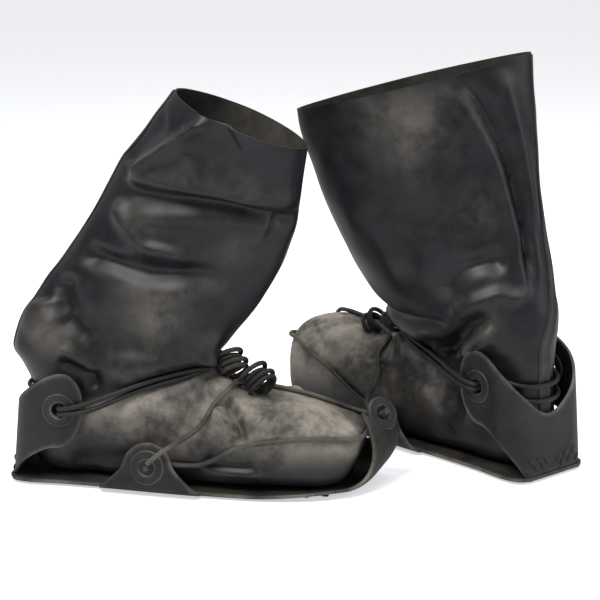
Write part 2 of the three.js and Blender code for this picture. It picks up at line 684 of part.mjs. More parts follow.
function makeBoot({ name, at, toe, near, foot, shaft, flapLift, tabX }) {
  const bag = makeBag(foot, shaft);
  const heel = flapEyelets(flapLift);
  const eyelets = {
    toe: frameOn(solePlace, TOE_EYELET_U, 0.5),
    heelLeft: heel.left,
    heelRight: heel.right,
    tabLeft: tabEyelet(1, tabX),
    tabRight: tabEyelet(-1, tabX),
  };
  const inner = near > 0 ? 'Left' : 'Right';
  const outer = near > 0 ? 'Right' : 'Left';
  const pieces = [
    ['sole', soleSheet(), soleRubber],
    ['heel_flap', heelFlap(flapLift), flapRubber],
    ['side_tab_inner', sideTab(near, tabX), flapRubber],
    ['side_tab_outer', sideTab(-near, tabX), flapRubber],
    ['eyelet_toe', eyeletDisc(eyelets.toe, SOLE_THICKNESS), flapRubber],
    ['eyelet_heel_inner', eyeletDisc(eyelets[`heel${inner}`], FLAP_THICKNESS), flapRubber],
    ['eyelet_heel_outer', eyeletDisc(eyelets[`heel${outer}`], FLAP_THICKNESS), flapRubber],
    ['eyelet_side_inner', eyeletDisc(eyelets[`tab${inner}`], SOLE_THICKNESS), flapRubber],
    ['eyelet_side_outer', eyeletDisc(eyelets[`tab${outer}`], SOLE_THICKNESS), flapRubber],
    ['foot_bag', footBag(bag), footRubber],
    ['ankle_bag', bagBand(bag, FOOT_END + 0.02, ANKLE_END - 0.02, 3), rubber],
    ['shaft', bagBand(bag, ANKLE_END, bag.last, 10), rubber],
    ['heel_tape', seamTape(bag, 11, FOOT_END - 0.02, 4), rubber],
    ['ankle_tape', seamTape(bag, FOOT_END + 0.02, ANKLE_END - 0.02, 3), rubber],
    ['shaft_tape', seamTape(bag, ANKLE_END, bag.last, 10), rubber],
    ...Object.entries(laces(bag, near, foot !== FOOT_ROWS, eyelets))
      .map(([part, tube]) => [part, tube, laceRubber]),
  ];
  const boot = new THREE.Group();
  for (const [part, geometry, material] of pieces) {
    const mesh = new THREE.Mesh(geometry, material);
    mesh.name = `${name}_${part}`;
    boot.add(mesh);
  }
  boot.position.set(at[0], at[1], 0);
  boot.rotation.z = THREE.MathUtils.degToRad(toe);
  return boot;
}

const pair = new THREE.Group();
for (const boot of BOOTS) pair.add(makeBoot(boot));

// The origin is moved to the bottom centre of the pair.
pair.updateMatrixWorld(true);
const box = new THREE.Box3().setFromObject(pair, true);
pair.position.set(-(box.min.x + box.max.x) / 2, -(box.min.y + box.max.y) / 2, -box.min.z);
pair.updateMatrixWorld(true);

export default pair;
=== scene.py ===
"""A pair of lace-up rubber overboots: a thin rubber bag on a moulded sole, held by one tied lace."""

import json
import math
from functools import partial

import bmesh
import bpy
import numpy as np
from mathutils import Matrix, Vector, noise


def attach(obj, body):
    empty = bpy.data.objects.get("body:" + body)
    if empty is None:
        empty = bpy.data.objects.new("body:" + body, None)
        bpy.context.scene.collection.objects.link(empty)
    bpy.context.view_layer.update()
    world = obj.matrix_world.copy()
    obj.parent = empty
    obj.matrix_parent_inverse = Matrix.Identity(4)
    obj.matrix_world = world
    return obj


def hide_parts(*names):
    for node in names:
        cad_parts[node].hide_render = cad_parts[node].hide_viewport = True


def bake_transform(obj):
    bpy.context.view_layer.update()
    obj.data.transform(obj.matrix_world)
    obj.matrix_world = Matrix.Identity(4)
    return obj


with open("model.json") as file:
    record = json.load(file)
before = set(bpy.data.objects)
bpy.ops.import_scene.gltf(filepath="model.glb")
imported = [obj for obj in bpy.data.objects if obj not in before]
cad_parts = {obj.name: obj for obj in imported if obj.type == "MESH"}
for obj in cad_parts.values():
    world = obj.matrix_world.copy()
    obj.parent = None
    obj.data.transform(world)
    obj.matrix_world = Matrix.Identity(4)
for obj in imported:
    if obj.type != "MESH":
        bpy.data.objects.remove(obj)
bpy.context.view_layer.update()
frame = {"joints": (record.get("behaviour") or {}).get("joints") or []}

MM = 0.001

# Sizes in millimetres, the same as in the CAD model.
BAG_WALL = 1.8
SOLE_THICKNESS = 3
CLEAT_HEIGHT = 3
SOLE_MARGIN = 6
TOE_CURL_RADIUS = 44
TOE_CURL_ANGLE = 136
TOE_TAB_HALF_WIDTH = 25
TOE_CURL_START = 342
FLAP_THICKNESS = 3
EYELET_HOLE = 15
EYELET_DISC = 35
EYELET_RIM = 1.3
LACE_DIAMETER = 5
LACE_RADIUS = LACE_DIAMETER / 2
TAPE_WIDTH = 12
TAPE_THICKNESS = 1.2
GAP = 0.3
SOLE_TOP = CLEAT_HEIGHT + SOLE_THICKNESS
BAG_BOTTOM = SOLE_TOP + GAP

# Rings of the bag: front x, z, back x, z, half width, turn about the vertical, shift to the left.
# The left toe is a little fuller than in the CAD model.
LEFT_FOOT_RINGS = [
    (359, 52, 359, 45, 5, 0, 0),
    (358, 61, 350, 27, 27, 0, 0),
    (350, 68, 338, 10, 41, 0, 0),
    (328, 76, 320, 6.3, 53, 0, 0),
    (297, 86, 291, 6.3, 60, 0, 0),
    (263, 93, 250, 6.3, 63, 0, 0),
    (240, 98, 205, 6.3, 61, 0, 0),
    (224, 106, 155, 6.3, 56, 0, 0),
    (215, 112, 105, 6.3, 50, 0, 0),
    (211, 117, 60, 6.3, 46, 0, 0),
    (209, 121, 27, 12, 45, 0, 0),
    (208, 124, 15, 36, 45, 0, 0),
    (208, 127, 16, 64, 45, 0, 0),
    (209, 130, 19, 92, 45, 0, 0),
]
RIGHT_FOOT_RINGS = [
    (352, 70, 352, 40, 8, 0, 26),
    (352, 98, 350, 13, 38, 0, 24),
    (345, 106, 343, 7.5, 49, 0, 19),
    (328, 109, 325, 6.3, 55, 0, 13),
    (300, 106, 293, 6.3, 60, 0, 7),
    (268, 102, 250, 6.3, 63, 0, 2),
    (244, 102, 205, 6.3, 61, 0, 0),
    *LEFT_FOOT_RINGS[7:],
]
LEFT_SHAFT_RINGS = [
    (212, 134, 10, 115, 45, 0, 0),
    (218, 141, 1, 130, 45, 0, 0),
    (229, 155, 2, 143, 45, 0, 0),
    (241, 171, 8, 160, 45, 0, 0),
    (254, 190, 18, 176, 45, 0, 0),
    (273, 222, 38, 207, 46, 0, 0),
    (285, 254, 66, 243, 49, 0, 0),
    (291, 284, 93, 285, 55, 0, 0),
    (295, 310, 118, 328, 63, 0, 0),
    (298, 328, 147, 364, 72, 0, 0),
    (300, 340, 171, 394, 78, 0, 0),
]
RIGHT_SHAFT_RINGS = [
    (212, 134, 17, 116, 47, 0, 2),
    (218, 140, 18, 132, 52, 2, 5),
    (223, 152, 18, 149, 57, 8, 9),
    (227, 168, 19, 166, 59, 15, 14),
    (232, 186, 22, 184, 58, 22, 20),
    (242, 217, 27, 220, 56, 31, 29),
    (252, 250, 33, 258, 53, 39, 38),
    (262, 282, 37, 300, 50, 44, 44),
    (271, 314, 40, 342, 46, 48, 48),
    (279, 342, 43, 384, 43, 50, 51),
    (283, 364, 46, 422, 41, 51, 52),
]
FOOT_END = 15
RIM_RING = 24
FOOT_SHAPE = 2.4
RIM_SHAPE = 1.75
FLAT_BOTTOM = 1.8                # how much squarer a foot ring is where it lies on the sole

# Folds of the rubber. Each has a form, a line of (ring, degrees) points, a width and a height in
# millimetres. 0 degrees is the front or top, 90 the boot's left and 180 the back or bottom.
# A ridge has a sharp crest and a round fold a soft one. A step rises on one side and sinks on the other.
# The grooves are where the lace presses into the front of the ankle.
LACE_GROOVES = [
    ("round", [(11.4, 14), (11.7, 36), (12, 52), (12.2, 68), (12, 84)], 6, -4),
    ("round", [(11.4, -14), (11.7, -36), (12, -52), (12.2, -68), (12, -84)], 6, -4),
]
LEFT_FOLDS = [
    *LACE_GROOVES,
    ("ridge", [(24, -108), (23.2, -117), (22.4, -127), (21.6, -141)], 7, 14),
    ("round", [(23.7, -75), (22.9, -88), (22.1, -100)], 26, -10),
    ("round", [(23.5, -150), (22.6, -155), (21.9, -160)], 16, -5.5),
    ("step", [(21.6, -150), (21.5, -112), (21.4, -76), (21.1, -45), (20.7, -5)], 9, 12.5),
    ("round", [(20.9, -132), (20.8, -107), (20.8, -83), (20.7, -55), (20.4, -25)], 10, 5.5),
    ("round", [(21.2, -146), (20.8, -132), (20.4, -118), (20, -104), (19.8, -88), (19.4, -74)], 9, 7),
    ("round", [(19.8, -152), (19.7, -128), (19.4, -105), (19.2, -90), (19.1, -72), (18.7, -47)], 12, -10),
    ("round", [(18.2, -90), (18.1, -72)], 32, 8.5),
    ("round", [(19.3, -150), (18.4, -131), (17.4, -114), (16.2, -96)], 14, -8.5),
    ("round", [(18.4, -156), (17.6, -140), (16.6, -124)], 20, 7),
    ("ridge", [(21, -38), (20.4, -42), (19.8, -45)], 6, 4),
    ("ridge", [(15.8, -118), (15.1, -108), (14.3, -103), (13.7, -96)], 7, 7),
    ("ridge", [(14.7, -118), (13.9, -104), (13.3, -99), (12.6, -101)], 6, -8.5),
    ("round", [(13.9, -98), (14, -80), (14.2, -60), (14.5, -38), (14.7, -14)], 14, 10),
    ("round", [(13.9, -33), (13.7, -27)], 8, 7),
    ("round", [(7.3, -26), (7, -21)], 12, 7),
    ("ridge", [(6.9, -30), (6.3, -45), (5.8, -60), (5.5, -76), (5.4, -86)], 6, -12.5),
    ("ridge", [(7, -50), (6.5, -60), (6, -72), (5.7, -84)], 7, 7),
    ("ridge", [(6.2, -88), (5.8, -99), (5.4, -99), (5, -90)], 5, -5.5),
    ("ridge", [(6.3, -96), (5.7, -107), (5.2, -107), (4.8, -96)], 5, 4),
    ("round", [(4.9, -52), (4.5, -48)], 16, 4),
    ("round", [(3.8, -60), (3.5, -52)], 18, 4),
    ("ridge", [(1.1, -92), (2, -82), (3.2, -74)], 6, 4),
    ("ridge", [(1.1, -20), (2, -40), (3, -50)], 6, 3.5),
    ("round", [(11.5, -96), (10.4, -82), (8.8, -62), (7.6, -44)], 14, 4),
    ("round", [(9.6, -128), (8.5, -112), (7.2, -104)], 16, -7),
    ("round", [(9.7, -26), (10, -52), (10.4, -74), (10.8, -88)], 9, 4),
    ("round", [(21.5, 110), (21.3, 60), (21, 20)], 11, -10),
    ("round", [(19.2, 130), (19, 90), (18.4, 45)], 13, -10),
    ("round", [(20.3, 120), (20, 80), (19.8, 40)], 16, 7),
    ("round", [(16.4, 120), (15.6, 95), (14.6, 70), (14.5, 40)], 12, 8.5),
    ("ridge", [(6.8, 30), (6.2, 55), (5.8, 80)], 7, -8.5),
    ("ridge", [(4.2, 20), (4.6, 50), (4.4, 85)], 7, 5.5),
]
RIGHT_FOLDS = [
    *LACE_GROOVES,
    ("round", [(24, 113), (23, 126), (22.2, 133), (21.2, 141), (20.2, 147), (19, 151), (18, 153)], 6.5, -9),
    ("round", [(24, 100), (22.6, 118), (21.2, 131), (20, 138), (19, 143)], 8, 4),
    ("round", [(24, 135), (22.4, 146), (21, 154), (19.6, 160)], 10, 5.5),
    ("round", [(18.3, 150), (18, 138), (18.1, 126), (17.7, 113), (17.2, 104), (17, 94)], 9, 6),
    ("round", [(19.1, 134), (19, 116), (18.6, 100), (17.9, 90)], 12, -8),
    ("round", [(17.2, 124), (16.5, 114), (15.6, 106), (14.4, 97), (13.4, 90), (12.6, 84)], 9, -11),
    ("round", [(16.3, 130), (15.3, 118), (14.3, 109), (13.4, 102)], 12, 7),
    ("step", [(15.7, 15), (15.4, 45), (15.1, 60), (15.3, 80), (15.9, 100)], 8, 11),
    ("round", [(22.3, 30), (20.8, 70), (19.6, 92)], 24, -5.5),
    ("round", [(22.9, 60), (22.3, 90)], 26, 4),
    ("round", [(20.2, 60), (19, 76)], 22, -5.5),
    ("ridge", [(8.8, 16), (8.1, 33), (7.4, 50), (7, 68)], 7, 8.5),
    ("ridge", [(9.9, 30), (9.2, 48), (8.6, 62)], 6, 5.5),
    ("ridge", [(8.2, 12), (7.4, 28), (6.6, 44), (6.2, 64)], 6, -8.5),
    ("round", [(5.2, 0), (4.6, 30), (4.4, 60)], 14, 8.5),
    ("ridge", [(4.2, 70), (3.8, 52), (3.2, 40)], 6, -5.5),
    ("round", [(11.6, 90), (10.4, 95), (9.1, 98), (8.4, 118)], 8, -7),
    ("ridge", [(9.5, 76), (8.9, 90), (8.7, 108)], 7, 5.5),
    ("round", [(14.6, 84), (13.8, 62), (13.4, 40)], 10, 5.5),
    ("round", [(9.8, 22), (10.2, 50), (10.6, 72)], 9, 4),
    ("round", [(21.6, -60), (20.6, -90), (19.4, -120)], 16, -8),
    ("round", [(17.8, -40), (17.4, -80), (17.2, -120)], 11, -10),
    ("round", [(18.8, -50), (18.4, -90)], 18, 5.5),
    ("ridge", [(16.2, -130), (15.2, -105), (14.2, -85)], 7, 7),
    ("ridge", [(7, -30), (6.4, -52), (6, -76)], 7, -8.5),
    ("ridge", [(5, -20), (5.2, -50), (5, -80)], 7, 5.5),
]

# Pale patches on the bag, painted highlights where bulges catch the light and paler old dust: a (ring,
# degrees) place, a radius in millimetres and a strength.
LEFT_HIGHLIGHT_AND_DUST_PATCHES = [
    ((17.7, -80), 24, 0.3),
    ((16.4, -126), 20, 0.26),
    ((20.4, -110), 18, 0.12),
    ((19.9, -60), 22, 0.1),
]
RIGHT_HIGHLIGHT_AND_DUST_PATCHES = [
    ((22.6, 84), 46, 0.2),
    ((20.4, 112), 26, 0.16),
    ((16.6, 122), 15, 0.08),
    ((3.4, 80), 40, 0.12),
    ((10.6, 84), 15, 0.3),
]


def smooth(share):
    s = np.clip(share, 0.0, 1.0)
    return s * s * (3 - 2 * s)


def cubic(p1, p2, t1, t2, w):
    """A point at the share w of a span from p1 to p2 that leaves along t1 and arrives along t2."""
    return p1 + t1 * w + (3 * (p2 - p1) - 2 * t1 - t2) * w**2 + (2 * (p1 - p2) + t1 + t2) * w**3


def with_ends(rows):
    """Rows with one more at each end, so that a curve has a direction there."""
    return np.vstack([2 * rows[0] - rows[1], rows, 2 * rows[-1] - rows[-2]])


def through_rows(rows, place):
    """Values between rows at 'place', a row number with a fraction, on a Catmull-Rom curve."""
    rows = np.array(rows, float)
    first = np.clip(np.floor(place).astype(int), 0, len(rows) - 2)
    rows = with_ends(rows)
    p0, p1, p2, p3 = (rows[first + i] for i in range(4))
    return cubic(p1, p2, (p2 - p0) / 2, (p3 - p1) / 2, (place - first)[..., None])


def centripetal(points, per_span):
    """Points on a centripetal Catmull-Rom curve through 'points', 'per_span' of them to a span."""
    points = with_ends(np.array(points, float))
    result = []
    for i in range(len(points) - 3):
        p0, p1, p2, p3 = points[i:i + 4]
        d0, d1, d2 = (max(np.linalg.norm(b - a) ** 0.5, 1e-3) for a, b in ((p0, p1), (p1, p2), (p2, p3)))
        t1 = ((p1 - p0) / d0 - (p2 - p0) / (d0 + d1) + (p2 - p1) / d1) * d1
        t2 = ((p2 - p1) / d1 - (p3 - p1) / (d1 + d2) + (p3 - p2) / d2) * d1
        for w in np.arange(per_span) / per_span:
            result.append(cubic(p1, p2, t1, t2, w))
    result.append(points[-2])
    return np.array(result)


# Boots

ANKLE_X = 118                    # the ankle hinge's distance from the back of the heel


class Boot:
    """One boot's place on the floor, worked out from its ankle hinge, and its shape."""

    def __init__(self, name, near, rings, full_toe, far_slack, folds, dustiness, highlight_and_dust_patches, flap_lift,
                 tab_x, knot_size):
        hinge = next(j for j in frame["joints"] if j["name"] == f"{name}_ankle_bend")
        self.name = name
        self.near = near                 # 1 where the boot's left side faces the camera, or else -1
        self.rows = rings
        self.full_toe = full_toe
        self.far_slack = far_slack       # how much narrower the rim's far half is
        self.folds = folds
        self.dustiness = dustiness       # over the foot, from the toe to the ankle
        # pale patches on the bag: painted highlights on lit bulges, and paler old dust
        self.highlight_and_dust_patches = highlight_and_dust_patches
        self.flap_lift = flap_lift       # how far the lobes of the heel flap are pulled up
        self.tab_x = tab_x
        self.knot_size = knot_size
        self.toe_angle = math.atan2(-hinge["axis"][0], hinge["axis"][1])
        forward = np.array([math.cos(self.toe_angle), math.sin(self.toe_angle), 0])
        self.heel = np.array([hinge["pos_m"][0], hinge["pos_m"][1], 0]) / MM - ANKLE_X * forward
        self.foot = f"{name}_foot"
        self.leg = f"{name}_leg"

    def world(self, points):
        """Metres in the object's frame for millimetres in the boot's own frame."""
        points = np.asarray(points, float)
        c, s = math.cos(self.toe_angle), math.sin(self.toe_angle)
        turned = np.stack([points[..., 0] * c - points[..., 1] * s,
                           points[..., 0] * s + points[..., 1] * c, points[..., 2]], -1)
        return (turned + self.heel) * MM

    def smooth_bag(self, ring, degrees, lift=0.0):
        """Points of the bag before its folds."""
        ring, degrees = np.broadcast_arrays(np.asarray(ring, float), np.asarray(degrees, float))
        r = through_rows(self.rows, ring)
        rise = smooth((ring - FOOT_END) / (RIM_RING - FOOT_END))
        flat = FLAT_BOTTOM * (1 - smooth((ring - 7) / 5)) * smooth(ring / 2)
        front = np.stack([r[..., 0], r[..., 1]], -1)
        back = np.stack([r[..., 2], np.maximum(r[..., 3], BAG_BOTTOM)], -1)
        centre, forward = (front + back) / 2, (front - back) / 2
        reach = np.linalg.norm(forward, axis=-1)
        forward = forward / reach[..., None]
        angle = np.radians(degrees)
        cos, sin = np.cos(angle), np.sin(angle)
        power = 2 / (FOOT_SHAPE + (RIM_SHAPE - FOOT_SHAPE) * rise + flat * (cos < 0))
        along = np.sign(cos) * np.abs(cos) ** power * (reach + lift)
        across = np.sign(sin) * np.abs(sin) ** power * (r[..., 4] + lift)
        across = across * (1 - self.far_slack * smooth((ring - 20) / 4) * (sin * self.near < 0))
        turn = np.radians(r[..., 5])
        x = forward[..., 0] * along
        return np.stack([x * np.cos(turn) - across * np.sin(turn) + centre[..., 0],
                         x * np.sin(turn) + across * np.cos(turn) + r[..., 6],
                         forward[..., 1] * along + centre[..., 1]], -1)


BOOTS = [
    Boot("left", near=-1, rings=LEFT_FOOT_RINGS + LEFT_SHAFT_RINGS, full_toe=False, far_slack=0.16,
         folds=LEFT_FOLDS, dustiness=(0.95, 0.8), highlight_and_dust_patches=LEFT_HIGHLIGHT_AND_DUST_PATCHES, flap_lift=0, tab_x=150, knot_size=1),
    Boot("right", near=1, rings=RIGHT_FOOT_RINGS + RIGHT_SHAFT_RINGS, full_toe=True, far_slack=0,
         folds=RIGHT_FOLDS, dustiness=(1.2, 0.25), highlight_and_dust_patches=RIGHT_HIGHLIGHT_AND_DUST_PATCHES, flap_lift=12, tab_x=186,
         knot_size=0.75),
]

# Camera, light and floor

CAMERA_TARGET = Vector((0.001, -0.107, 0.183))
CAMERA_DISTANCE = 1.6
CAMERA_ELEVATION = math.radians(14)
CAMERA_LENS = 96
WORLD_FILL = 0.32                # light from all round; the background itself shows as white
FLOOR_GLOW = 0.55                # the back-lit cloth that the boots stand on
FLOOR_SIZE = 60


def make_camera():
    data = bpy.data.cameras.new("camera")
    data.lens = CAMERA_LENS
    data.sensor_width = 36
    camera = bpy.data.objects.new("camera", data)
    bpy.context.scene.collection.objects.link(camera)
    back = Vector((0, -math.cos(CAMERA_ELEVATION), math.sin(CAMERA_ELEVATION)))
    camera.location = CAMERA_TARGET + back * CAMERA_DISTANCE
    camera.rotation_euler = (math.pi / 2 - CAMERA_ELEVATION, 0, 0)
    bpy.context.scene.camera = camera


def area_light(name, place, target, size, power, colour=(1, 1, 1)):
    data = bpy.data.lights.new(name, "AREA")
    data.shape = "RECTANGLE"
    data.size, data.size_y = size
    data.energy = power
    data.color = colour
    light = bpy.data.objects.new(name, data)
    bpy.context.scene.collection.objects.link(light)
    light.location = place
    light.rotation_euler = (Vector(target) - Vector(place)).to_track_quat("-Z", "Y").to_euler()


def make_lights():
    area_light("key", (-0.8, -1.15, 2.2), (0, -0.05, 0.15), (1.0, 1.0), 44, (1, 0.99, 0.975))
    area_light("top", (0.2, 0.3, 2.1), (0, 0, 0.1), (1.8, 1.4), 24)
    area_light("side", (1.9, -0.5, 1.0), (0.1, 0, 0.15), (0.9, 1.4), 9, (0.93, 0.96, 1))


def make_world():
    world = bpy.data.worlds.new("studio")
    world.use_nodes = True
    tree = world.node_tree
    tree.nodes["Background"].inputs["Color"].default_value = (0.98, 0.99, 1, 1)
    seen = tree.nodes.new("ShaderNodeLightPath").outputs["Is Camera Ray"]
    strength = tree.nodes.new("ShaderNodeMapRange")
    strength.inputs["To Min"].default_value = WORLD_FILL
    strength.inputs["To Max"].default_value = 1.0
    tree.links.new(seen, strength.inputs["Value"])
    tree.links.new(strength.outputs[0], tree.nodes["Background"].inputs["Strength"])
    bpy.context.scene.world = world
    bpy.context.scene.view_settings.view_transform = "Standard"


def make_floor():
    bpy.ops.object.select_all(action="DESELECT")
    bpy.ops.mesh.primitive_plane_add(size=FLOOR_SIZE, location=(0, 0, 0))
    floor = bpy.context.object
    floor.name = "floor"
    paint = bpy.data.materials.new("floor_cloth")
    paint.use_nodes = True
    nodes, links = paint.node_tree.nodes, paint.node_tree.links
    shader = nodes["Principled BSDF"]
    shader.inputs["Base Color"].default_value = (0.93, 0.94, 0.96, 1)
    shader.inputs["Roughness"].default_value = 0.9
    shader.inputs["Emission Color"].default_value = (0.97, 0.98, 1, 1)
    ray = nodes.new("ShaderNodeLightPath").outputs["Is Camera Ray"]
    glow = nodes.new("ShaderNodeMath")
    glow.operation = "MULTIPLY"
    glow.inputs[1].default_value = FLOOR_GLOW
    links.new(ray, glow.inputs[0])
    links.new(glow.outputs[0], shader.inputs["Emission Strength"])
    floor.data.materials.append(paint)


# Materials. Masks that change over the surface come from two shared groups.

def group_nodes(name, inputs, outputs):
    group = bpy.data.node_groups.new(name, "ShaderNodeTree")
    for socket, kind, value in inputs:
        made = group.interface.new_socket(socket, in_out="INPUT", socket_type=kind)
        if value is not None:
            made.default_value = value
    for socket, kind in outputs:
        group.interface.new_socket(socket, in_out="OUTPUT", socket_type=kind)
    start = group.nodes.new("NodeGroupInput")
    end = group.nodes.new("NodeGroupOutput")
    return group, start, end


def add(tree, kind, **values):
    node = tree.nodes.new(kind)
    for key, value in values.items():
        if key in node.inputs:
            node.inputs[key].default_value = value
        else:
            setattr(node, key, value)
    return node


def math_node(tree, operation, a, b):
    node = tree.nodes.new("ShaderNodeMath")
    node.operation = operation
    node.use_clamp = True
    for socket, value in zip(node.inputs, (a, b)):
        if isinstance(value, bpy.types.NodeSocket):
            tree.links.new(value, socket)
        else:
            socket.default_value = value
    return node.outputs[0]


def ramp(tree, value, low, high):
    node = tree.nodes.new("ShaderNodeMapRange")
    node.interpolation_type = "SMOOTHSTEP"
    node.inputs["From Min"].default_value = low
    node.inputs["From Max"].default_value = high
    tree.links.new(value, node.inputs["Value"])
    return node.outputs[0]


def make_dust_and_light_group():
    """Dry, dusty clouds with fine speckle. 'Amount' is where they can lie; on the bag it also carries painted
    highlights and painted shade.
    """
    group, start, end = group_nodes(
        "dust", [("Vector", "NodeSocketVector", None), ("Amount", "NodeSocketFloat", 0.5)],
        [("Mask", "NodeSocketFloat"), ("Speckle", "NodeSocketFloat")])
    link = group.links.new
    cloud = add(group, "ShaderNodeTexNoise", Scale=17.0, Detail=5.0, Roughness=0.62)
    fine = add(group, "ShaderNodeTexNoise", Scale=95.0, Detail=4.0, Roughness=0.7)
    speck = add(group, "ShaderNodeTexNoise", Scale=900.0, Detail=2.0, Roughness=0.6)
    for node in (cloud, fine, speck):
        link(start.outputs["Vector"], node.inputs["Vector"])
    broad = ramp(group, cloud.outputs["Fac"], 0.4, 0.62)
    middle = ramp(group, fine.outputs["Fac"], 0.3, 0.72)
    both = math_node(group, "ADD", math_node(group, "MULTIPLY", broad, 0.72),
                     math_node(group, "MULTIPLY", middle, 0.28))
    spread = math_node(group, "ADD", math_node(group, "MULTIPLY", both, 0.88), 0.12)
    link(math_node(group, "MULTIPLY", spread, start.outputs["Amount"]), end.inputs["Mask"])
    link(ramp(group, speck.outputs["Fac"], 0.62, 0.78), end.inputs["Speckle"])
    return group


def make_grain_group():
    """The height of moulded rubber's fine grain, with soft unevenness."""
    group, start, end = group_nodes(
        "rubber_grain", [("Vector", "NodeSocketVector", None)],
        [("Height", "NodeSocketFloat"), ("Patches", "NodeSocketFloat")])
    link = group.links.new
    grain = add(group, "ShaderNodeTexNoise", Scale=1400.0, Detail=3.0, Roughness=0.6)
    dents = add(group, "ShaderNodeTexNoise", Scale=70.0, Detail=4.0, Roughness=0.55)
    patches = add(group, "ShaderNodeTexNoise", Scale=26.0, Detail=6.0, Roughness=0.65)
    for node in (grain, dents, patches):
        link(start.outputs["Vector"], node.inputs["Vector"])
    height = math_node(group, "ADD", math_node(group, "MULTIPLY", grain.outputs["Fac"], 0.3),
                       math_node(group, "MULTIPLY", dents.outputs["Fac"], 0.7))
    link(height, end.inputs["Height"])
    link(patches.outputs["Fac"], end.inputs["Patches"])
    return group


def mix_colour(tree, factor, a, b):
    node = tree.nodes.new("ShaderNodeMix")
    node.data_type = "RGBA"
    tree.links.new(factor, node.inputs["Factor"])
    for socket, value in ((node.inputs[6], a), (node.inputs[7], b)):
        if isinstance(value, bpy.types.NodeSocket):
            tree.links.new(value, socket)
        else:
            socket.default_value = (*value, 1)
    return node.outputs[2]


# The pale colour of dust; on the bag it also stands in for painted highlights, and less of it paints shade.
DUST_AND_HIGHLIGHT_COLOUR = (0.36, 0.325, 0.27)
CLEAT_DUST = 0.35
LUG_DUST = 0.1
LACE_DUST = 0.32
WRAP_DUST = 0.03
KNOT_DUST = 0.08
TAPE_DUST = 0.12
SPECK_STRENGTH = 0.06
DUST_ROUGHNESS = 0.34            # how much rougher the rubber is under full dust
GRAIN_DEPTH = 0.0006
RUBBER_SHINE = 0.3


def rubber(name, dark, light, gloss, dusty=None):
    """A rubber that varies from dark to light, turned towards the pale colour where the piece's 'dust'
    attribute says, or, where 'dusty' is given, that amount all over.
    On the bag that attribute holds dusty patches with painted highlights and painted shade. 'gloss' is its
    lowest and highest roughness."""
    material = bpy.data.materials.new(name)
    material.use_nodes = True
    tree = material.node_tree
    shader = tree.nodes["Principled BSDF"]
    place = tree.nodes.new("ShaderNodeTexCoord").outputs["Object"]
    grain = add(tree, "ShaderNodeGroup", node_tree=GRAIN)
    cover = add(tree, "ShaderNodeGroup", node_tree=DUST_AND_LIGHT_GROUP)
    for group in (grain, cover):
        tree.links.new(place, group.inputs["Vector"])
    if dusty is None:
        amount = add(tree, "ShaderNodeAttribute", attribute_name="dust").outputs["Fac"]
        tree.links.new(amount, cover.inputs["Amount"])
    else:
        cover.inputs["Amount"].default_value = dusty
    tone = mix_colour(tree, ramp(tree, grain.outputs["Patches"], 0.36, 0.68), dark, light)
    specks = math_node(tree, "MULTIPLY", cover.outputs["Speckle"], SPECK_STRENGTH)
    speckled = mix_colour(tree, specks, tone, DUST_AND_HIGHLIGHT_COLOUR)
    # Mixes in the pale colour by the mask: dust, and on the bag also painted highlights and painted shade.
    dust_and_light_colour = mix_colour(tree, cover.outputs["Mask"], speckled, DUST_AND_HIGHLIGHT_COLOUR)
    tree.links.new(dust_and_light_colour, shader.inputs["Base Color"])
    rough = tree.nodes.new("ShaderNodeMapRange")
    rough.inputs["To Min"].default_value = gloss[0]
    rough.inputs["To Max"].default_value = gloss[1]
    tree.links.new(grain.outputs["Patches"], rough.inputs["Value"])
    dry = math_node(tree, "MULTIPLY", cover.outputs["Mask"], DUST_ROUGHNESS)
    tree.links.new(math_node(tree, "ADD", rough.outputs[0], dry), shader.inputs["Roughness"])
    relief = add(tree, "ShaderNodeBump", Strength=0.25, Distance=GRAIN_DEPTH)
    tree.links.new(grain.outputs["Height"], relief.inputs["Height"])
    tree.links.new(relief.outputs["Normal"], shader.inputs["Normal"])
    shader.inputs["Specular IOR Level"].default_value = RUBBER_SHINE
    return material


DUST_AND_LIGHT_GROUP = make_dust_and_light_group()
GRAIN = make_grain_group()
SHAFT_RUBBER = rubber("shaft_rubber", (0.0036, 0.0039, 0.0056), (0.0105, 0.0115, 0.016), (0.3, 0.5))
INNER_RUBBER = rubber("inner_rubber", (0.010, 0.0095, 0.009), (0.024, 0.021, 0.018), (0.6, 0.8), 0.12)
SOLE_RUBBER = rubber("sole_rubber", (0.009, 0.0085, 0.008), (0.022, 0.020, 0.018), (0.5, 0.75))
FLAP_RUBBER = rubber("flap_rubber", (0.0055, 0.006, 0.008), (0.015, 0.016, 0.02), (0.4, 0.6))
LACE_RUBBER = rubber("lace_rubber", (0.007, 0.007, 0.0075), (0.018, 0.0175, 0.017), (0.42, 0.6))
TAPE_RUBBER = rubber("tape_rubber", (0.0065, 0.0065, 0.0075), (0.015, 0.015, 0.018), (0.4, 0.55))


# Mesh helpers

MERGE_DISTANCE = 1e-6


def deselect():
    if bpy.context.object and bpy.context.object.mode != "OBJECT":
        bpy.ops.object.mode_set(mode="OBJECT")
    bpy.ops.object.select_all(action="DESELECT")


def activate(obj):
    deselect()
    obj.select_set(True)
    bpy.context.view_layer.objects.active = obj


def grid(name, columns, rows):
    """A primitive grid of columns x rows faces, ready to be laid on a surface."""
    deselect()
    bpy.ops.mesh.primitive_grid_add(x_subdivisions=columns, y_subdivisions=rows, size=2)
    obj = bpy.context.object
    obj.name = obj.data.name = name
    return obj


def lay(obj, points):
    """Moves the grid's points, row by row, to the world places in 'points'."""
    obj.data.vertices.foreach_set("co", np.asarray(points, np.float32).reshape(-1))
    obj.data.update()


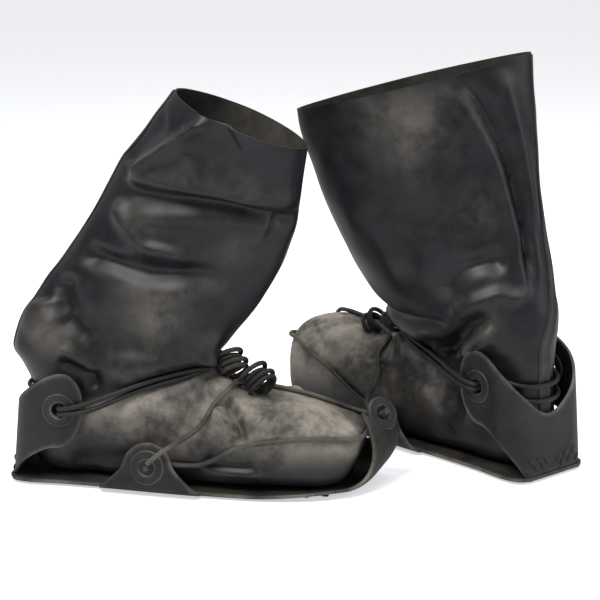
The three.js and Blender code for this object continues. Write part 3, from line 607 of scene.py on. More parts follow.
def face_outward(obj):
    activate(obj)
    bpy.ops.object.mode_set(mode="EDIT")
    bpy.ops.mesh.select_all(action="SELECT")
    bpy.ops.mesh.normals_make_consistent(inside=False)
    bpy.ops.object.mode_set(mode="OBJECT")


def merge(obj):
    """Joins points that lie on each other."""
    activate(obj)
    bpy.ops.object.mode_set(mode="EDIT")
    bpy.ops.mesh.select_all(action="SELECT")
    bpy.ops.mesh.remove_doubles(threshold=MERGE_DISTANCE)
    bpy.ops.object.mode_set(mode="OBJECT")
    face_outward(obj)


def apply(obj, kind, **values):
    activate(obj)
    modifier = obj.modifiers.new("step", kind)
    for key, value in values.items():
        setattr(modifier, key, value)
    bpy.ops.object.modifier_apply(modifier=modifier.name)


def shade(obj, angle=40):
    activate(obj)
    bpy.ops.object.shade_smooth_by_angle(angle=math.radians(angle))


# The attribute holds dust, and on the bag also painted highlights and painted shade.
def write_dust_and_painted_light(obj, values):
    attribute = obj.data.attributes.new("dust", "FLOAT", "POINT")
    attribute.data.foreach_set("value", np.asarray(values, np.float32))


def finish_piece(obj, boot, slot, *parts):
    """Says which CAD nodes of the foot the piece stands for, and hangs it on the foot; 'slot' is not used."""
    if parts:
        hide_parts(*(f"{boot.name}_{part}" for part in parts))
    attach(obj, boot.foot)


def even_dust(obj, value):
    write_dust_and_painted_light(obj, np.full(len(obj.data.vertices), value))


def facing(points, wrap):
    """Unit normals of a rows x columns grid of points."""
    if wrap:
        across = np.roll(points, -1, 1) - np.roll(points, 1, 1)
    else:
        across = np.gradient(points, axis=1)
    along = np.gradient(points, axis=0)
    normal = np.cross(across, along)
    return normal / np.maximum(np.linalg.norm(normal, axis=-1, keepdims=True), 1e-9)


# The bag

BAG_COLUMNS = 160
BAG_ROWS = 230
TOE_TIP = 1.6                    # no folds before this ring
WRAP_RING = 12.4                 # where the lace is wound round the ankle; a darker band of painted shade lies along it


def fold_heights(boot, points, normals):
    """How far each point moves along its normal, for all of the boot's folds together."""
    total = np.zeros(points.shape[:2])
    flat = points.reshape(-1, 3)
    wobble = np.array([noise.noise(Vector(p) * 0.03) for p in flat]).reshape(total.shape)
    for form, line, width, height in boot.folds:
        places = centripetal(line, 6)
        route = boot.smooth_bag(places[:, 0], places[:, 1])
        starts, spans = route[:-1], route[1:] - route[:-1]
        offset = flat[:, None] - starts[None]
        share = np.clip((offset * spans).sum(-1) / (spans**2).sum(-1), 0, 1)
        away = offset - share[..., None] * spans
        distance = np.linalg.norm(away, axis=-1)
        nearest = distance.argmin(1)
        rows = np.arange(len(flat))
        d = distance[rows, nearest].reshape(total.shape) / (width * (1 + 0.5 * wobble))
        along = ((nearest + share[rows, nearest]) / len(spans)).reshape(total.shape)
        fade = smooth(along / 0.18) * smooth((1 - along) / 0.18) if len(line) > 2 else 1.0
        if form == "ridge":
            profile = np.exp(-np.sqrt(0.12 + d**2) ** 1.3 * 1.1 + 0.07)
        elif form == "step":
            side = np.sign((np.cross(spans[nearest], away[rows, nearest])
                            * normals.reshape(-1, 3)).sum(-1)).reshape(total.shape)
            profile = -side * boot.near * 1.6 * d * np.exp(-d**1.3)
        else:
            profile = np.exp(-d**2)
        total += height * profile * fade
    return total


def bag_places(boot):
    """Ring numbers for the bag's rows, spaced evenly over the rubber."""
    rings = np.linspace(0, RIM_RING, 400)
    line = boot.smooth_bag(rings[:, None], np.array([[0, 45, 90, 135, 180]]))
    step = np.linalg.norm(np.diff(line, axis=0), axis=-1)
    length = np.concatenate([[0], np.cumsum(step.mean(1) * 0.6 + step.max(1) * 0.4)])
    return np.interp(np.linspace(0, length[-1], BAG_ROWS + 1), length, rings)


def unevenness(base):
    """Slow waves of the rubber, in millimetres."""
    places = [Vector(place) for place in base.reshape(-1, 3)]
    slow = np.array([noise.noise(place * 0.013 + Vector((3, 7, 1))) for place in places])
    quick = np.array([noise.noise(place * 0.035) for place in places])
    return (1.5 * slow + 0.45 * quick).reshape(base.shape[:2])


def bag_dust_and_painted_light(boot, ring, degree, base, heights, tilt):
    """Pale dusty colour all over the foot, darker towards the sole, and on the shaft where folds turn
    upwards, as settled dusting and painted sheen. Fold crests get painted light and fold hollows painted
    shade, a band of painted shade follows the lace's wrap, and pale patches add painted highlights.
    'tilt' is how far a fold has turned the rubber upwards."""
    foot = smooth((14.5 - ring) / 3)
    above_sole = smooth((boot.surface[..., 2] - 24) / 52)
    # Fold crests are painted lighter and fold hollows darker: painted light and painted shade.
    fold_light_and_shade = np.clip(heights, -8, 8)
    # Where a fold turns the rubber upwards it is paler: settled dust together with painted sheen.
    upturned_dust_and_sheen = smooth(tilt / 0.35) * (boot.normals[..., 2] > -0.3)
    # The foot is paler higher up and darker towards the sole.
    dust = foot * ((0.05 + 0.95 * above_sole) * np.interp(ring, (5, 8), boot.dustiness) + 0.03 * fold_light_and_shade)
    dust = dust + (1 - foot) * (0.01 + 0.1 * upturned_dust_and_sheen + 0.004 * fold_light_and_shade)
    # A darker band along the lace's wrap round the ankle, away from the front: painted shade.
    lace_band_shade = np.exp(-((ring - WRAP_RING) / 0.9) ** 2) * (np.abs(degree) > 20)
    dust = dust - 0.6 * lace_band_shade
    # Pale patches: painted highlights on lit bulges, and paler old dust.
    for place, radius, strength in boot.highlight_and_dust_patches:
        away = np.linalg.norm(base - boot.smooth_bag(*place), axis=-1) / radius
        dust = dust + strength * np.exp(-away**2)
    return np.clip(dust, 0.02, 0.95)


def build_bag(boot):
    rings = bag_places(boot)
    degrees = np.linspace(-180, 180, BAG_COLUMNS + 1)[:-1]
    ring, degree = np.meshgrid(rings, degrees, indexing="ij")
    base = boot.smooth_bag(ring, degree)
    normal = facing(base, True)
    inward = ((boot.smooth_bag(ring, degree + 180) - base) * normal).sum(-1, keepdims=True) > 0
    normal = np.where(inward, -normal, normal)
    folds = fold_heights(boot, base, normal)
    waves = unevenness(base)
    shaft = smooth((ring - 12) / 3)
    points = base + normal * (folds + waves * (0.9 + 0.8 * shaft))[..., None]
    points[..., 2] = np.maximum(points[..., 2], BAG_BOTTOM)
    tip = smooth((TOE_TIP - ring) / TOE_TIP)[..., None]
    points = points * (1 - tip) + base * tip
    boot.rings, boot.degrees, boot.surface = rings, degrees, points
    boot.normals = facing(points, True)
    boot.normals = np.where(inward, -boot.normals, boot.normals)
    tilt = boot.normals[..., 2] - normal[..., 2]
    dust = bag_dust_and_painted_light(boot, ring, degree, base, folds + waves, tilt)

    obj = grid(f"{boot.name}_bag", BAG_COLUMNS, BAG_ROWS)
    closed = np.concatenate([points, points[:, :1]], 1)
    lay(obj, boot.world(closed))
    write_dust_and_painted_light(obj, np.concatenate([dust, dust[:, :1]], 1).reshape(-1))
    close_toe(obj)
    obj.data.materials.append(SHAFT_RUBBER)
    obj.data.materials.append(INNER_RUBBER)
    apply(obj, "SOLIDIFY", thickness=BAG_WALL * MM, offset=-1, material_offset=1)
    shade(obj, 60)
    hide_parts(*(f"{boot.name}_{part}" for part in ("foot_bag", "ankle_bag", "shaft")))
    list(hinge_span(boot))
    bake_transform(obj)


def close_toe(obj):
    """Joins the bag's seam, and closes its small first ring to a point."""
    merge(obj)
    activate(obj)
    bpy.ops.object.mode_set(mode="EDIT")
    bpy.ops.mesh.select_all(action="DESELECT")
    mesh = bmesh.from_edit_mesh(obj.data)
    for edge in mesh.edges:
        if edge.is_boundary and edge.verts[0].co.z < 0.06:
            edge.select_set(True)
    bmesh.update_edit_mesh(obj.data)
    bpy.ops.mesh.edge_face_add()
    bpy.ops.mesh.poke()
    bpy.ops.object.mode_set(mode="OBJECT")
    face_outward(obj)


ANKLE_END = 17.8                 # the ring where the ankle's bend ends


def hinge_span(boot):
    """The stretch over which the ankle turns: square to the ring where the foot ends."""
    front = boot.smooth_bag([FOOT_END, ANKLE_END], [0, 0])
    back = boot.smooth_bag([FOOT_END, ANKLE_END], [180, 180])
    middle, forward = (front + back) / 2, front[0] - back[0]
    up = np.array([-forward[2], 0, forward[0]]) / math.hypot(forward[0], forward[2])
    rise = float((middle[1] - middle[0]) @ up)
    return boot.world(np.array([middle[0], middle[0] + up * rise]))


def on_bag(boot, ring, degrees, lift=0.0):
    """A point of the folded bag, raised by 'lift'."""
    row = np.interp(ring, boot.rings, np.arange(len(boot.rings)))
    column = ((degrees + 180) % 360) / 360 * len(boot.degrees)
    r0, c0 = int(row), int(column)
    fr, fc = row - r0, column - c0
    r1, c1 = min(r0 + 1, len(boot.rings) - 1), (c0 + 1) % len(boot.degrees)
    c0 %= len(boot.degrees)

    def between(field):
        return ((field[r0, c0] * (1 - fc) + field[r0, c1] * fc) * (1 - fr)
                + (field[r1, c0] * (1 - fc) + field[r1, c1] * fc) * fr)
    normal = between(boot.normals)
    return between(boot.surface) + normal / np.linalg.norm(normal) * lift


# The sole

SIDE_POINTS = [(0, 30), (7, 41), (22, 46), (60, 47), (110, 51), (160, 57), (205, 61), (255, 63),
               (295, 60), (320, 54), (345, 42), (372, 29)]
SOLE_END = TOE_CURL_START + TOE_CURL_RADIUS * math.radians(TOE_CURL_ANGLE)
TAB_POINTS = [(1.3, 1), (0.7, 0.93), (0.2, 0.6), (0, 0.25)]
SOLE_LINE = centripetal(
    [(x, y + SOLE_MARGIN) for x, y in SIDE_POINTS]
    + [(SOLE_END - TOE_TAB_HALF_WIDTH * back, TOE_TAB_HALF_WIDTH * half) for back, half in TAB_POINTS], 12)
SOLE_COLUMNS = 36
TOE_EYELET_U = 0.935
EDGE_CUP = 4.5                   # how far the sole's edges curl up under the forefoot
TOE_CUP = 23                     # how far the sole's far edge curls up at the toe
TAB_TWIST = 13                   # how far the lace pulls the toe tab's near edge back


def sole_surface(near, u, v):
    """A point of the sole's middle surface: u from heel to toe tab, v from -1, right, to 1, left."""
    spot = np.clip(np.asarray(u, float), 0, 1) * (len(SOLE_LINE) - 1)
    x = np.interp(spot, np.arange(len(SOLE_LINE)), SOLE_LINE[:, 0])
    half = np.interp(spot, np.arange(len(SOLE_LINE)), SOLE_LINE[:, 1])
    turn = np.maximum(0, x - TOE_CURL_START) / TOE_CURL_RADIUS
    cup = EDGE_CUP * smooth((x - 250) / 90) * np.abs(v) ** 5
    far = np.clip(-np.asarray(v) * near, 0, 1)
    cup = cup + TOE_CUP * smooth((x - 318) / 45) * (1 - 0.6 * smooth((x - 390) / 30)) * far**4
    radius = TOE_CURL_RADIUS - SOLE_THICKNESS / 2 - cup
    flat_z = CLEAT_HEIGHT + SOLE_THICKNESS / 2 + cup
    bent = turn > 0
    twist = TAB_TWIST * smooth(turn / 1.9) * np.asarray(v) * near
    return np.stack([
        np.where(bent, TOE_CURL_START + radius * np.sin(turn) - twist, x),
        np.asarray(v) * half,
        np.where(bent, CLEAT_HEIGHT + TOE_CURL_RADIUS - radius * np.cos(turn), flat_z)], -1)


def frame_on(surface, u, v, step=0.01):
    """The middle and normal of a surface at (u, v), in the boot's own frame."""
    point = surface(u, v)
    along = surface(u + step, v) - surface(u - step, v)
    up = surface(u, v + step) - surface(u, v - step)
    normal = np.cross(along, up)
    return point, normal / np.linalg.norm(normal)


def direction(boot, vector):
    """A direction of the boot's own frame in the object's frame."""
    return Vector((boot.world(np.asarray(vector, float)) - boot.world(np.zeros(3))) / MM)


CUTTER_LENGTH = 30


def punch(obj, boot, eyelet):
    """Cuts the round opening that an eyelet disc sits in."""
    point, normal = eyelet
    turn = direction(boot, normal).to_track_quat("Z", "Y")
    deselect()
    bpy.ops.mesh.primitive_cylinder_add(
        vertices=64, radius=(EYELET_DISC / 2 + GAP) * MM, depth=CUTTER_LENGTH * MM,
        location=boot.world(point), rotation=turn.to_euler())
    cutter = bpy.context.object
    apply(obj, "BOOLEAN", operation="DIFFERENCE", solver="FAST", object=cutter)
    bpy.data.objects.remove(cutter)


def round_edges(obj, width=0.7, angle=50):
    apply(obj, "BEVEL", width=width * MM, segments=3, limit_method="ANGLE", angle_limit=math.radians(angle),
          harden_normals=False)
    shade(obj, 45)


def dust_from(obj, rule):
    """Writes the dust attribute from rule(places in millimetres)."""
    places = np.zeros(len(obj.data.vertices) * 3, np.float32)
    obj.data.vertices.foreach_get("co", places)
    write_dust_and_painted_light(obj, np.clip(rule(places.reshape(-1, 3) / MM), 0, 1))


WORN_EDGE = 2.4


def sheet_piece(boot, name, points, thickness, eyelets, material, slot, edge_dust):
    """A bent rubber sheet from its middle surface, with its eyelet openings and worn edges."""
    rows, columns = points.shape[0] - 1, points.shape[1] - 1
    obj = grid(f"{boot.name}_boot_{name}", columns, rows)
    lay(obj, boot.world(points))
    merge(obj)
    apply(obj, "SOLIDIFY", thickness=thickness * MM, offset=0, use_even_offset=False)
    face_outward(obj)
    for eyelet in eyelets:
        punch(obj, boot, eyelet)
    edges = np.concatenate([points[0], points[-1], points[:, 0], points[:, -1]])
    edges = boot.world(edges) / MM
    round_edges(obj)

    def rule(places):
        nearest = np.array([np.sqrt(((edges - p) ** 2).sum(1).min()) for p in places])
        return edge_dust[0] + edge_dust[1] * np.exp(-(nearest / WORN_EDGE) ** 2)
    dust_from(obj, rule)
    obj.data.materials.append(material)
    finish_piece(obj, boot, slot, name)


def build_sole(boot):
    u = np.linspace(0, 1, 130) ** 0.92
    v = np.sin(np.linspace(-1, 1, SOLE_COLUMNS + 1) * math.pi / 2)
    surface = partial(sole_surface, boot.near)
    points = surface(u[:, None], v[None, :])
    boot.toe_eyelet = frame_on(surface, TOE_EYELET_U, 0.0)
    sheet_piece(boot, "sole", points, SOLE_THICKNESS, [boot.toe_eyelet],
                SOLE_RUBBER, "sole_rubber", (0.08, 0.6))


def sole_half_width(x):
    return float(np.interp(x, SOLE_LINE[:, 0], SOLE_LINE[:, 1]))


CLEAT_WIDTH = 7
CLEAT_PITCH = 19
CLEAT_INSET = 14
HEEL_CLEATS = [14 + CLEAT_PITCH * i for i in range(5)]
FOREFOOT_CLEATS = list(np.arange(190, TOE_CURL_START - CLEAT_WIDTH, CLEAT_PITCH))


def cleat(boot, x):
    """One bar across the underside of the sole."""
    deselect()
    bpy.ops.mesh.primitive_cube_add(size=1)
    obj = bpy.context.object
    width = 2 * (sole_half_width(x) - CLEAT_INSET)
    size = Matrix.Diagonal((CLEAT_WIDTH, width, CLEAT_HEIGHT, 1))
    obj.data.transform(Matrix.Translation((x, 0, CLEAT_HEIGHT / 2)) @ size)
    for vertex in obj.data.vertices:
        vertex.co = boot.world(vertex.co)
    return obj


def join(name, objects):
    deselect()
    for obj in objects:
        obj.select_set(True)
    bpy.context.view_layer.objects.active = objects[0]
    bpy.ops.object.join()
    joined = bpy.context.object
    joined.name = joined.data.name = name
    return joined


def build_cleats(boot):
    obj = join(f"{boot.name}_cleats", [cleat(boot, x) for x in HEEL_CLEATS + FOREFOOT_CLEATS])
    merge(obj)
    round_edges(obj, 0.8, 30)
    even_dust(obj, CLEAT_DUST)
    obj.data.materials.append(SOLE_RUBBER)
    finish_piece(obj, boot, "sole_rubber")


# The heel flap

HEEL_HALF_WIDTH = 45
FLAP_CLEARANCE = 8
FLAP_DIP_HEIGHT = 66
LOBE_RADIUS = 37
LOBE_REACH = 24
FLAP_HALF_WIDTH = HEEL_HALF_WIDTH + FLAP_CLEARANCE + FLAP_THICKNESS / 2
FLAP_CORNER = 26
EYELET_X = 59
FLAP_BACK = FLAP_HALF_WIDTH - FLAP_CORNER
BEND_LENGTH = math.pi / 2 * FLAP_CORNER
EYELET_S = FLAP_BACK + BEND_LENGTH + EYELET_X - FLAP_CORNER - 12
FLAP_END = EYELET_S + LOBE_REACH
EYELET_HEIGHT = 81
FLAP_LEAN = 0.1
FLAP_ATTACHED = 38


def flap_edges(s, lift):
    """The flap's bottom and top heights at a distance s along the sheet from its middle."""
    beyond = np.clip((s - EYELET_S) / LOBE_REACH, 0, 1)
    round_share = np.sqrt(1 - beyond**2)
    crest = EYELET_HEIGHT + LOBE_RADIUS + lift
    top = np.where(s > EYELET_S, EYELET_HEIGHT + lift + np.maximum(2, LOBE_RADIUS * round_share),
                   FLAP_DIP_HEIGHT + (crest - FLAP_DIP_HEIGHT) * smooth(s / EYELET_S))
    low = SOLE_TOP + GAP
    lobe_low = EYELET_HEIGHT - LOBE_RADIUS - 2 + lift
    rise = smooth((s - FLAP_ATTACHED) / (EYELET_S - FLAP_ATTACHED))
    bottom = np.where(s > EYELET_S, EYELET_HEIGHT + lift - np.maximum(2, (LOBE_RADIUS + 2) * round_share),
                      low + (lobe_low - low) * np.sqrt(rise))
    return bottom, top


def flap_surface(lift):
    """The middle surface of the heel flap: u round the heel, v from the bottom up."""
    def place(u, v):
        u, v = np.broadcast_arrays(np.asarray(u, float), np.asarray(v, float))
        s = FLAP_END * np.sin((u - 0.5) * math.pi)
        bottom, top = flap_edges(np.abs(s), lift)
        height = bottom + v * (top - bottom)
        back = 2 + FLAP_THICKNESS / 2 + FLAP_LEAN * height
        turn = np.clip((np.abs(s) - FLAP_BACK) / BEND_LENGTH, 0, 1) * math.pi / 2
        beyond = np.maximum(0, np.abs(s) - FLAP_BACK - BEND_LENGTH)
        return np.stack([
            back + FLAP_CORNER * (1 - np.cos(turn)) + beyond,
            np.sign(s) * (np.minimum(np.abs(s), FLAP_BACK) + FLAP_CORNER * np.sin(turn)),
            height], -1)
    return place


def build_heel_flap(boot):
    surface = flap_surface(boot.flap_lift)
    share = math.asin(EYELET_S / FLAP_END) / math.pi
    v = (LOBE_RADIUS + 2) / (2 * LOBE_RADIUS + 2)
    boot.heel_eyelets = {}
    for side in (1, -1):
        point, normal = frame_on(surface, 0.5 + side * share, v)
        boot.heel_eyelets[side] = (point, -normal)
    points = surface(np.linspace(0, 1, 141)[None, :], np.linspace(0, 1, 29)[:, None])
    sheet_piece(boot, "heel_flap", points, FLAP_THICKNESS, boot.heel_eyelets.values(),
                FLAP_RUBBER, "flap_rubber", (0.03, 0.6))


LUG_PLACES = [(0.025, 0.2), (0.04, 0.1), (0.055, 0.22), (0.07, 0.11), (0.09, 0.2), (0.105, 0.08)]
LUG_RADII = (2.2, 5, 1.6)
LUG_TURN = 0.7


def build_heel_lugs(boot):
    """Small oval lugs moulded on the flap, low down at each side of the heel's back."""
    surface = flap_surface(boot.flap_lift)
    made = []
    for side in (1, -1):
        for u, v in LUG_PLACES:
            point, normal = frame_on(surface, 0.5 + side * u, v, 0.004)
            point = point - normal * FLAP_THICKNESS / 2
            deselect()
            bpy.ops.mesh.primitive_uv_sphere_add(segments=20, ring_count=12, radius=1)
            obj = bpy.context.object
            turn = direction(boot, -normal).to_track_quat("Z", "Y").to_matrix().to_4x4()
            size = Matrix.Scale(MM, 4) @ Matrix.Diagonal((*LUG_RADII, 1))
            obj.data.transform(Matrix.Translation(boot.world(point)) @ turn
                               @ Matrix.Rotation(side * LUG_TURN, 4, "Z") @ size)
            made.append(obj)
    obj = join(f"{boot.name}_boot_heel_lugs", made)
    obj.data.materials.append(FLAP_RUBBER)
    even_dust(obj, LUG_DUST)
    shade(obj, 60)
    finish_piece(obj, boot, "flap_rubber")


# The side tabs

SIDE_TAB_LENGTH = 56
SIDE_TAB_BASE = 104
TAB_BEND_RADIUS = 9
TAB_LEAN = math.radians(97)
TAB_TIP = EYELET_DISC / 2 + 7


def tab_surface(side, tab_x):
    """The middle surface of a side tab: u along the sole, v from the sole's edge to the tab's tip."""
    edge = sole_half_width(tab_x) + GAP

    def place(u, v):
        u, v = np.broadcast_arrays(np.asarray(u, float), np.asarray(v, float))
        length = v * SIDE_TAB_LENGTH
        from_tip = (SIDE_TAB_LENGTH - length) / TAB_TIP
        round_share = np.where(from_tip < 1, np.sqrt(np.maximum(0.02, 1 - (1 - from_tip) ** 2)), 1)
        half = (TAB_TIP + (SIDE_TAB_BASE / 2 - TAB_TIP) * (1 - smooth(v * 1.5))) * round_share
        turn = np.minimum(length / TAB_BEND_RADIUS, TAB_LEAN)
        straight = np.maximum(0, length - TAB_LEAN * TAB_BEND_RADIUS)
        x = tab_x + (u - 0.5) * 2 * half
        margin = np.interp(x, SOLE_LINE[:, 0], SOLE_LINE[:, 1]) + GAP - edge
        out = edge + margin * (1 - v) + TAB_BEND_RADIUS * np.sin(turn) + straight * np.cos(turn)
        up = (CLEAT_HEIGHT + SOLE_THICKNESS / 2 + TAB_BEND_RADIUS
              - TAB_BEND_RADIUS * np.cos(turn) + straight * np.sin(turn))
        return np.stack([x, side * out, up], -1)
    return place


def build_side_tabs(boot):
    boot.tab_eyelets = {}
    for side in (1, -1):
        surface = tab_surface(side, boot.tab_x)
        point, normal = frame_on(surface, 0.5, 1 - TAB_TIP / SIDE_TAB_LENGTH)
        if normal[1] * side < 0:
            normal = -normal
        boot.tab_eyelets[side] = (point, normal)
        points = surface(np.linspace(0, 1, 61)[None, :], np.linspace(0, 1, 41)[:, None])
        which = "inner" if side == boot.near else "outer"
        sheet_piece(boot, f"side_tab_{which}", points, SOLE_THICKNESS, [boot.tab_eyelets[side]],
                    FLAP_RUBBER, "flap_rubber", (0.03, 0.55))


# The eyelets

def eyelet_profile(thickness):
    """Radius and height of a disc's section, from its hole round to its hole."""
    inner, outer = EYELET_HOLE / 2, EYELET_DISC / 2
    top = thickness / 2 + EYELET_RIM
    half = [(inner + 0.2, top - 0.9), (inner + 0.9, top - 0.1), (inner + 2.2, top),
            (inner + 3.4, top - 0.5), (outer - 3.2, top - 0.6), (outer - 1.8, top - 0.1),
            (outer - 0.8, top - 0.3), (outer - 0.1, top - 1.2)]
    return half + [(r, -h) for r, h in reversed(half)]


def build_eyelet(boot, name, eyelet, thickness):
    point, normal = eyelet
    profile = eyelet_profile(thickness)
    mesh = bpy.data.meshes.new(f"{boot.name}_boot_{name}")
    mesh.from_pydata([(r, 0, h) for r, h in profile], [(i, i + 1) for i in range(len(profile) - 1)], [])
    obj = bpy.data.objects.new(f"{boot.name}_boot_{name}", mesh)
    bpy.context.scene.collection.objects.link(obj)
    activate(obj)
    bpy.ops.object.mode_set(mode="EDIT")
    bpy.ops.mesh.select_all(action="SELECT")
    bpy.ops.mesh.edge_face_add()
    bpy.ops.mesh.delete(type="ONLY_FACE")
    bpy.ops.mesh.select_all(action="SELECT")
    bpy.ops.mesh.spin(steps=56, angle=2 * math.pi, center=(0, 0, 0), axis=(0, 0, 1))
    bpy.ops.mesh.select_all(action="SELECT")
    bpy.ops.mesh.remove_doubles(threshold=0.01)
    bpy.ops.mesh.normals_make_consistent(inside=False)
    bpy.ops.object.mode_set(mode="OBJECT")
    turn = direction(boot, normal).to_track_quat("Z", "Y").to_matrix().to_4x4()
    radii = [math.hypot(v.co.x, v.co.y) for v in mesh.vertices]
    mesh.transform(Matrix.Translation(boot.world(point)) @ turn @ Matrix.Scale(MM, 4))
    write_dust_and_painted_light(obj, [0.4 if r < EYELET_HOLE / 2 + 1.5 else 0.3 if r > EYELET_DISC / 2 - 1.5 else 0.05
                     for r in radii])
    obj.data.materials.append(FLAP_RUBBER)
    shade(obj, 60)
    finish_piece(obj, boot, "flap_rubber", name)


def build_eyelets(boot):
    build_eyelet(boot, "eyelet_toe", boot.toe_eyelet, SOLE_THICKNESS)
    sides = (("inner", boot.near), ("outer", -boot.near))
    for which, side in sides:
        build_eyelet(boot, f"eyelet_heel_{which}", boot.heel_eyelets[side], FLAP_THICKNESS)
    for which, side in sides:
        build_eyelet(boot, f"eyelet_side_{which}", boot.tab_eyelets[side], SOLE_THICKNESS)


# The lace

LACE_REST = LACE_RADIUS + 0.2    # the lace's middle above the rubber that it lies on
SPACE = LACE_DIAMETER + GAP
SHEET_FACE = SOLE_THICKNESS / 2 + EYELET_RIM + LACE_RADIUS + 3 * GAP
TAPE_REST = LACE_REST + TAPE_THICKNESS + 2 * GAP


def tube(name, path):
    """A round lace along points in metres, as a mesh."""
    data = bpy.data.curves.new(name, "CURVE")
    data.dimensions = "3D"
    data.bevel_depth = LACE_RADIUS * MM
    data.bevel_resolution = 4
    data.use_fill_caps = True
    spline = data.splines.new("POLY")
    spline.points.add(len(path) - 1)
    for point, place in zip(spline.points, path):
        point.co = (*place, 1)
    obj = bpy.data.objects.new(name, data)
    bpy.context.scene.collection.objects.link(obj)
    activate(obj)
    bpy.ops.object.convert(target="MESH")
    obj = bpy.context.object
    merge(obj)
    obj.data.materials.append(LACE_RUBBER)
    shade(obj, 60)
    return obj


def lace_routes(boot):
    near, far = boot.near, -boot.near

    def on(ring, side, degrees, lift=LACE_REST):
        return on_bag(boot, ring, side * degrees, lift)

    def through(eyelet, out, dx=0.0, dz=0.0):
        return eyelet[0] + eyelet[1] * out + np.array([dx, 0, dz])

    toe = boot.toe_eyelet
    tab_near, tab_far = boot.tab_eyelets[near], boot.tab_eyelets[far]
    heel_near, heel_far = boot.heel_eyelets[near], boot.heel_eyelets[far]
    beside = np.array([0, SPACE / 2 + 3 * GAP, 0])
    pull = SPACE / 2 - 0.05
    round_toe, over_toe = [], []
    past_toe = [on(1.6, near, 52), on(2.6, near, 58), on(3.5, near, 66), on(4.5, near, 76), on(5.5, near, 88),
                on(6.3, near, 100)]
    if boot.full_toe:
        past_toe = [on(2.6, near, 62), on(3.4, near, 72), on(4.5, near, 82), on(5.5, near, 92),
                    on(6.3, near, 103)]
        round_toe = [on(1, near, 46, LACE_REST + 3.4), on(1.7, near, 56, LACE_REST + 2.2)]
        over_toe = [on(1.3, far, 36, LACE_REST + 1)]
    toe_to_tab = [
        through(toe, -SHEET_FACE - 2) + near * beside,
        through(toe, SHEET_FACE + 1) + near * beside,
        *round_toe, *past_toe,
        through(tab_near, -SHEET_FACE - 1, 14, 2),
        through(tab_near, -SHEET_FACE + 1, 3),
        through(tab_near, SHEET_FACE + 0.5)]
    tab_to_knot = [
        through(tab_near, SHEET_FACE + 2.4, 2, SPACE),
        through(tab_near, SHEET_FACE + 1, 14, 16),
        on(6.9, near, 78, LACE_REST + SPACE), on(6.9, near, 52), on(6.8, near, 30), on(6.6, near, 16)]
    toe_to_knot = [
        through(toe, -SHEET_FACE - 2) + far * beside,
        through(toe, SHEET_FACE + 1) + far * beside,
        *over_toe, on(2.3, far, 18, LACE_REST + 3 * GAP), on(3, far, 14), on(3.6, far, 10),
        on(4.2, far, 8), on(4.8, far, 6), on(5.5, far, 4)]
    outer_tab = [
        on(6.4, far, 16), on(6.6, far, 34), on(6.8, far, 56), on(6.9, far, 78, LACE_REST + SPACE),
        through(tab_far, SHEET_FACE + 2.4, 12, 14),
        through(tab_far, SHEET_FACE + 1, 2), through(tab_far, SHEET_FACE - 3),
        through(tab_far, -SHEET_FACE + 1.5, -0.6), through(tab_far, -SHEET_FACE - 2, -10, 6),
        on(8, far, 84), on(8.1, far, 68), on(8.2, far, 50), on(8.2, far, 32), on(8.2, far, 14)]

    def one_side(heel, side, rise, rings):
        return [
            *(on(ring, side, degrees) for ring, degrees in rings),
            through(heel, SHEET_FACE - 0.8, 31, 6 + 1.5 * rise),
            through(heel, SHEET_FACE + 1, 12, 1.6 + 1.15 * rise),
            through(heel, SHEET_FACE - 2, 1.2, rise),
            through(heel, -SHEET_FACE + 2, 0, rise)]

    def wrap(rise, rings, back):
        behind = [(near, 136, LACE_REST), (near, 150, TAPE_REST), (near, 164, TAPE_REST),
                  (near, 180, TAPE_REST), (far, 164, TAPE_REST), (far, 150, TAPE_REST),
                  (far, 136, LACE_REST)]
        return [*one_side(heel_near, near, rise, rings),
                *(on(back, side, degrees, lift) for side, degrees, lift in behind),
                *reversed(one_side(heel_far, far, rise, rings))]

    lower = [(10.2, 14), (10.5, 24), (10.8, 36), (11.3, 52), (11.6, 67), (11.8, 79)]
    upper = [(12.6, 14), (12.6, 24), (12.65, 36), (12.7, 52), (12.65, 67), (12.5, 79)]
    return {
        "lace_toe_to_tab": toe_to_tab,
        "lace_tab_to_knot": tab_to_knot,
        "lace_toe_to_knot": toe_to_knot,
        "lace_outer_tab": outer_tab,
        "lace_wrap_lower": wrap(-pull, lower, 12.5),
        "lace_wrap_upper": wrap(pull, upper, 13.1),
    }


UPPER_RADIUS = 9.5
LOWER_RADIUS = 10.5
KNOT_TURNS = 4
UPPER_DROOP = 6
LOWER_DROOP = 3
KNOT_PITCH = LACE_DIAMETER + 0.4
LOOP_LENGTH = 1.4                # a loop's two radii, as shares of the bundle's
LOOP_DEPTH = 0.85
LOOP_SLANT = 3.2


def knot_loops(centre, axis, radius, turns, droop):
    """A bundle of loops round an axis. Each turn has its own size and hangs a little."""
    along = np.array(axis, float) / np.linalg.norm(axis)
    side = np.cross((0, 0, 1), along)
    side /= np.linalg.norm(side)
    up = np.cross(along, side)
    path = []
    for turn in np.arange(0, turns + 0.01, 1 / 24):
        angle = 2 * math.pi * (turn + 0.5)
        grow = 1 + 0.2 * math.sin(turn * 2.4 + 1)
        path.append(centre + along * ((turn - turns / 2) * KNOT_PITCH + LOOP_SLANT * math.sin(angle))
                    + side * radius * LOOP_DEPTH * grow * math.sin(angle)
                    + up * radius * LOOP_LENGTH * grow * math.cos(angle)
                    - np.array([0, 0, droop * (turn / turns - 0.5) ** 2]))
    return path


def knot_centres(boot):
    """The middles of the two bundles of loops of the knot, upper and lower."""
    near, lift = boot.near, LACE_RADIUS + 3 * GAP
    upper = boot.smooth_bag(12, near * 12, lift) + (17, near * 4, -1)
    lower = boot.smooth_bag(5.8, near * 10, lift) + (8, near * 3, LOWER_RADIUS)
    return upper, lower


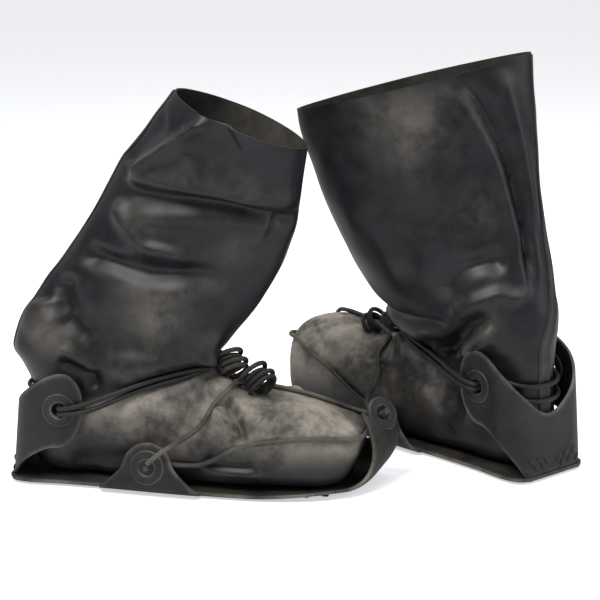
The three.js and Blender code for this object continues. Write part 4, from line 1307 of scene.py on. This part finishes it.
def build_laces(boot):
    near = boot.near
    upper, lower = knot_centres(boot)
    routes = lace_routes(boot)
    routes["lace_tab_to_knot"].append(lower)
    routes["lace_toe_to_knot"].append(lower)
    routes["lace_outer_tab"] = [lower, *routes["lace_outer_tab"], upper]
    for wrap in ("lace_wrap_lower", "lace_wrap_upper"):
        routes[wrap] = [upper, *routes[wrap], upper]
    for part, points in routes.items():
        path = boot.world(centripetal(points, 10))
        obj = tube(f"{boot.name}_boot_{part}", path)
        even_dust(obj, WRAP_DUST if "wrap" in part else LACE_DUST)
        finish_piece(obj, boot, "lace_rubber", part)
    knots = (("knot_upper", upper, (0.5, near * 0.25, -0.85), UPPER_RADIUS, UPPER_DROOP),
             ("knot_lower", lower, (0.72, near * 0.25, -0.65), LOWER_RADIUS, LOWER_DROOP))
    for part, centre, axis, radius, droop in knots:
        points = knot_loops(centre, axis, radius * boot.knot_size, KNOT_TURNS * boot.knot_size, droop)
        obj = tube(f"{boot.name}_boot_{part}", boot.world(np.array(points)))
        even_dust(obj, KNOT_DUST)
        finish_piece(obj, boot, "lace_rubber", part)


# The seam tape down the back

TAPE_COLUMNS = 12
TAPE_ROWS = 149
TAPE_START = 11                  # the ring just above the heel's curve


def build_tape(boot):
    """A strip with two low ridges along it, bonded over the bag's back seam."""
    across = np.linspace(-0.5, 0.5, TAPE_COLUMNS + 1)
    ridge = np.exp(-((np.abs(across) - 0.3) / 0.1) ** 2) * 0.9
    edge = np.where(np.abs(across) > 0.49, -0.9, 0.0)
    lines = []
    for ring in np.linspace(TAPE_START, RIM_RING - 0.05, TAPE_ROWS + 1):
        half = through_rows(boot.rows, np.array(ring))[4]
        row = []
        for share, high in zip(across, ridge + edge):
            degrees = 180 - math.degrees(share * TAPE_WIDTH / half * 1.1)
            row.append(on_bag(boot, ring, degrees, TAPE_THICKNESS + high))
        lines.append(row)
    obj = grid(f"{boot.name}_back_tape", TAPE_COLUMNS, TAPE_ROWS)
    lay(obj, boot.world(np.array(lines)))
    merge(obj)
    apply(obj, "SOLIDIFY", thickness=TAPE_THICKNESS * 0.9 * MM, offset=-1)
    apply(obj, "SUBSURF", levels=1, render_levels=1)
    obj.data.materials.append(TAPE_RUBBER)
    even_dust(obj, TAPE_DUST)
    shade(obj, 60)
    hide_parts(*(f"{boot.name}_{part}" for part in ("heel_tape", "ankle_tape", "shaft_tape")))
    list(hinge_span(boot))
    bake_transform(obj)


make_camera()
make_lights()
make_world()
make_floor()
for boot in BOOTS:
    build_bag(boot)
    build_sole(boot)
    build_cleats(boot)
    build_heel_flap(boot)
    build_heel_lugs(boot)
    build_side_tabs(boot)
    build_eyelets(boot)
    build_laces(boot)
    build_tape(boot)
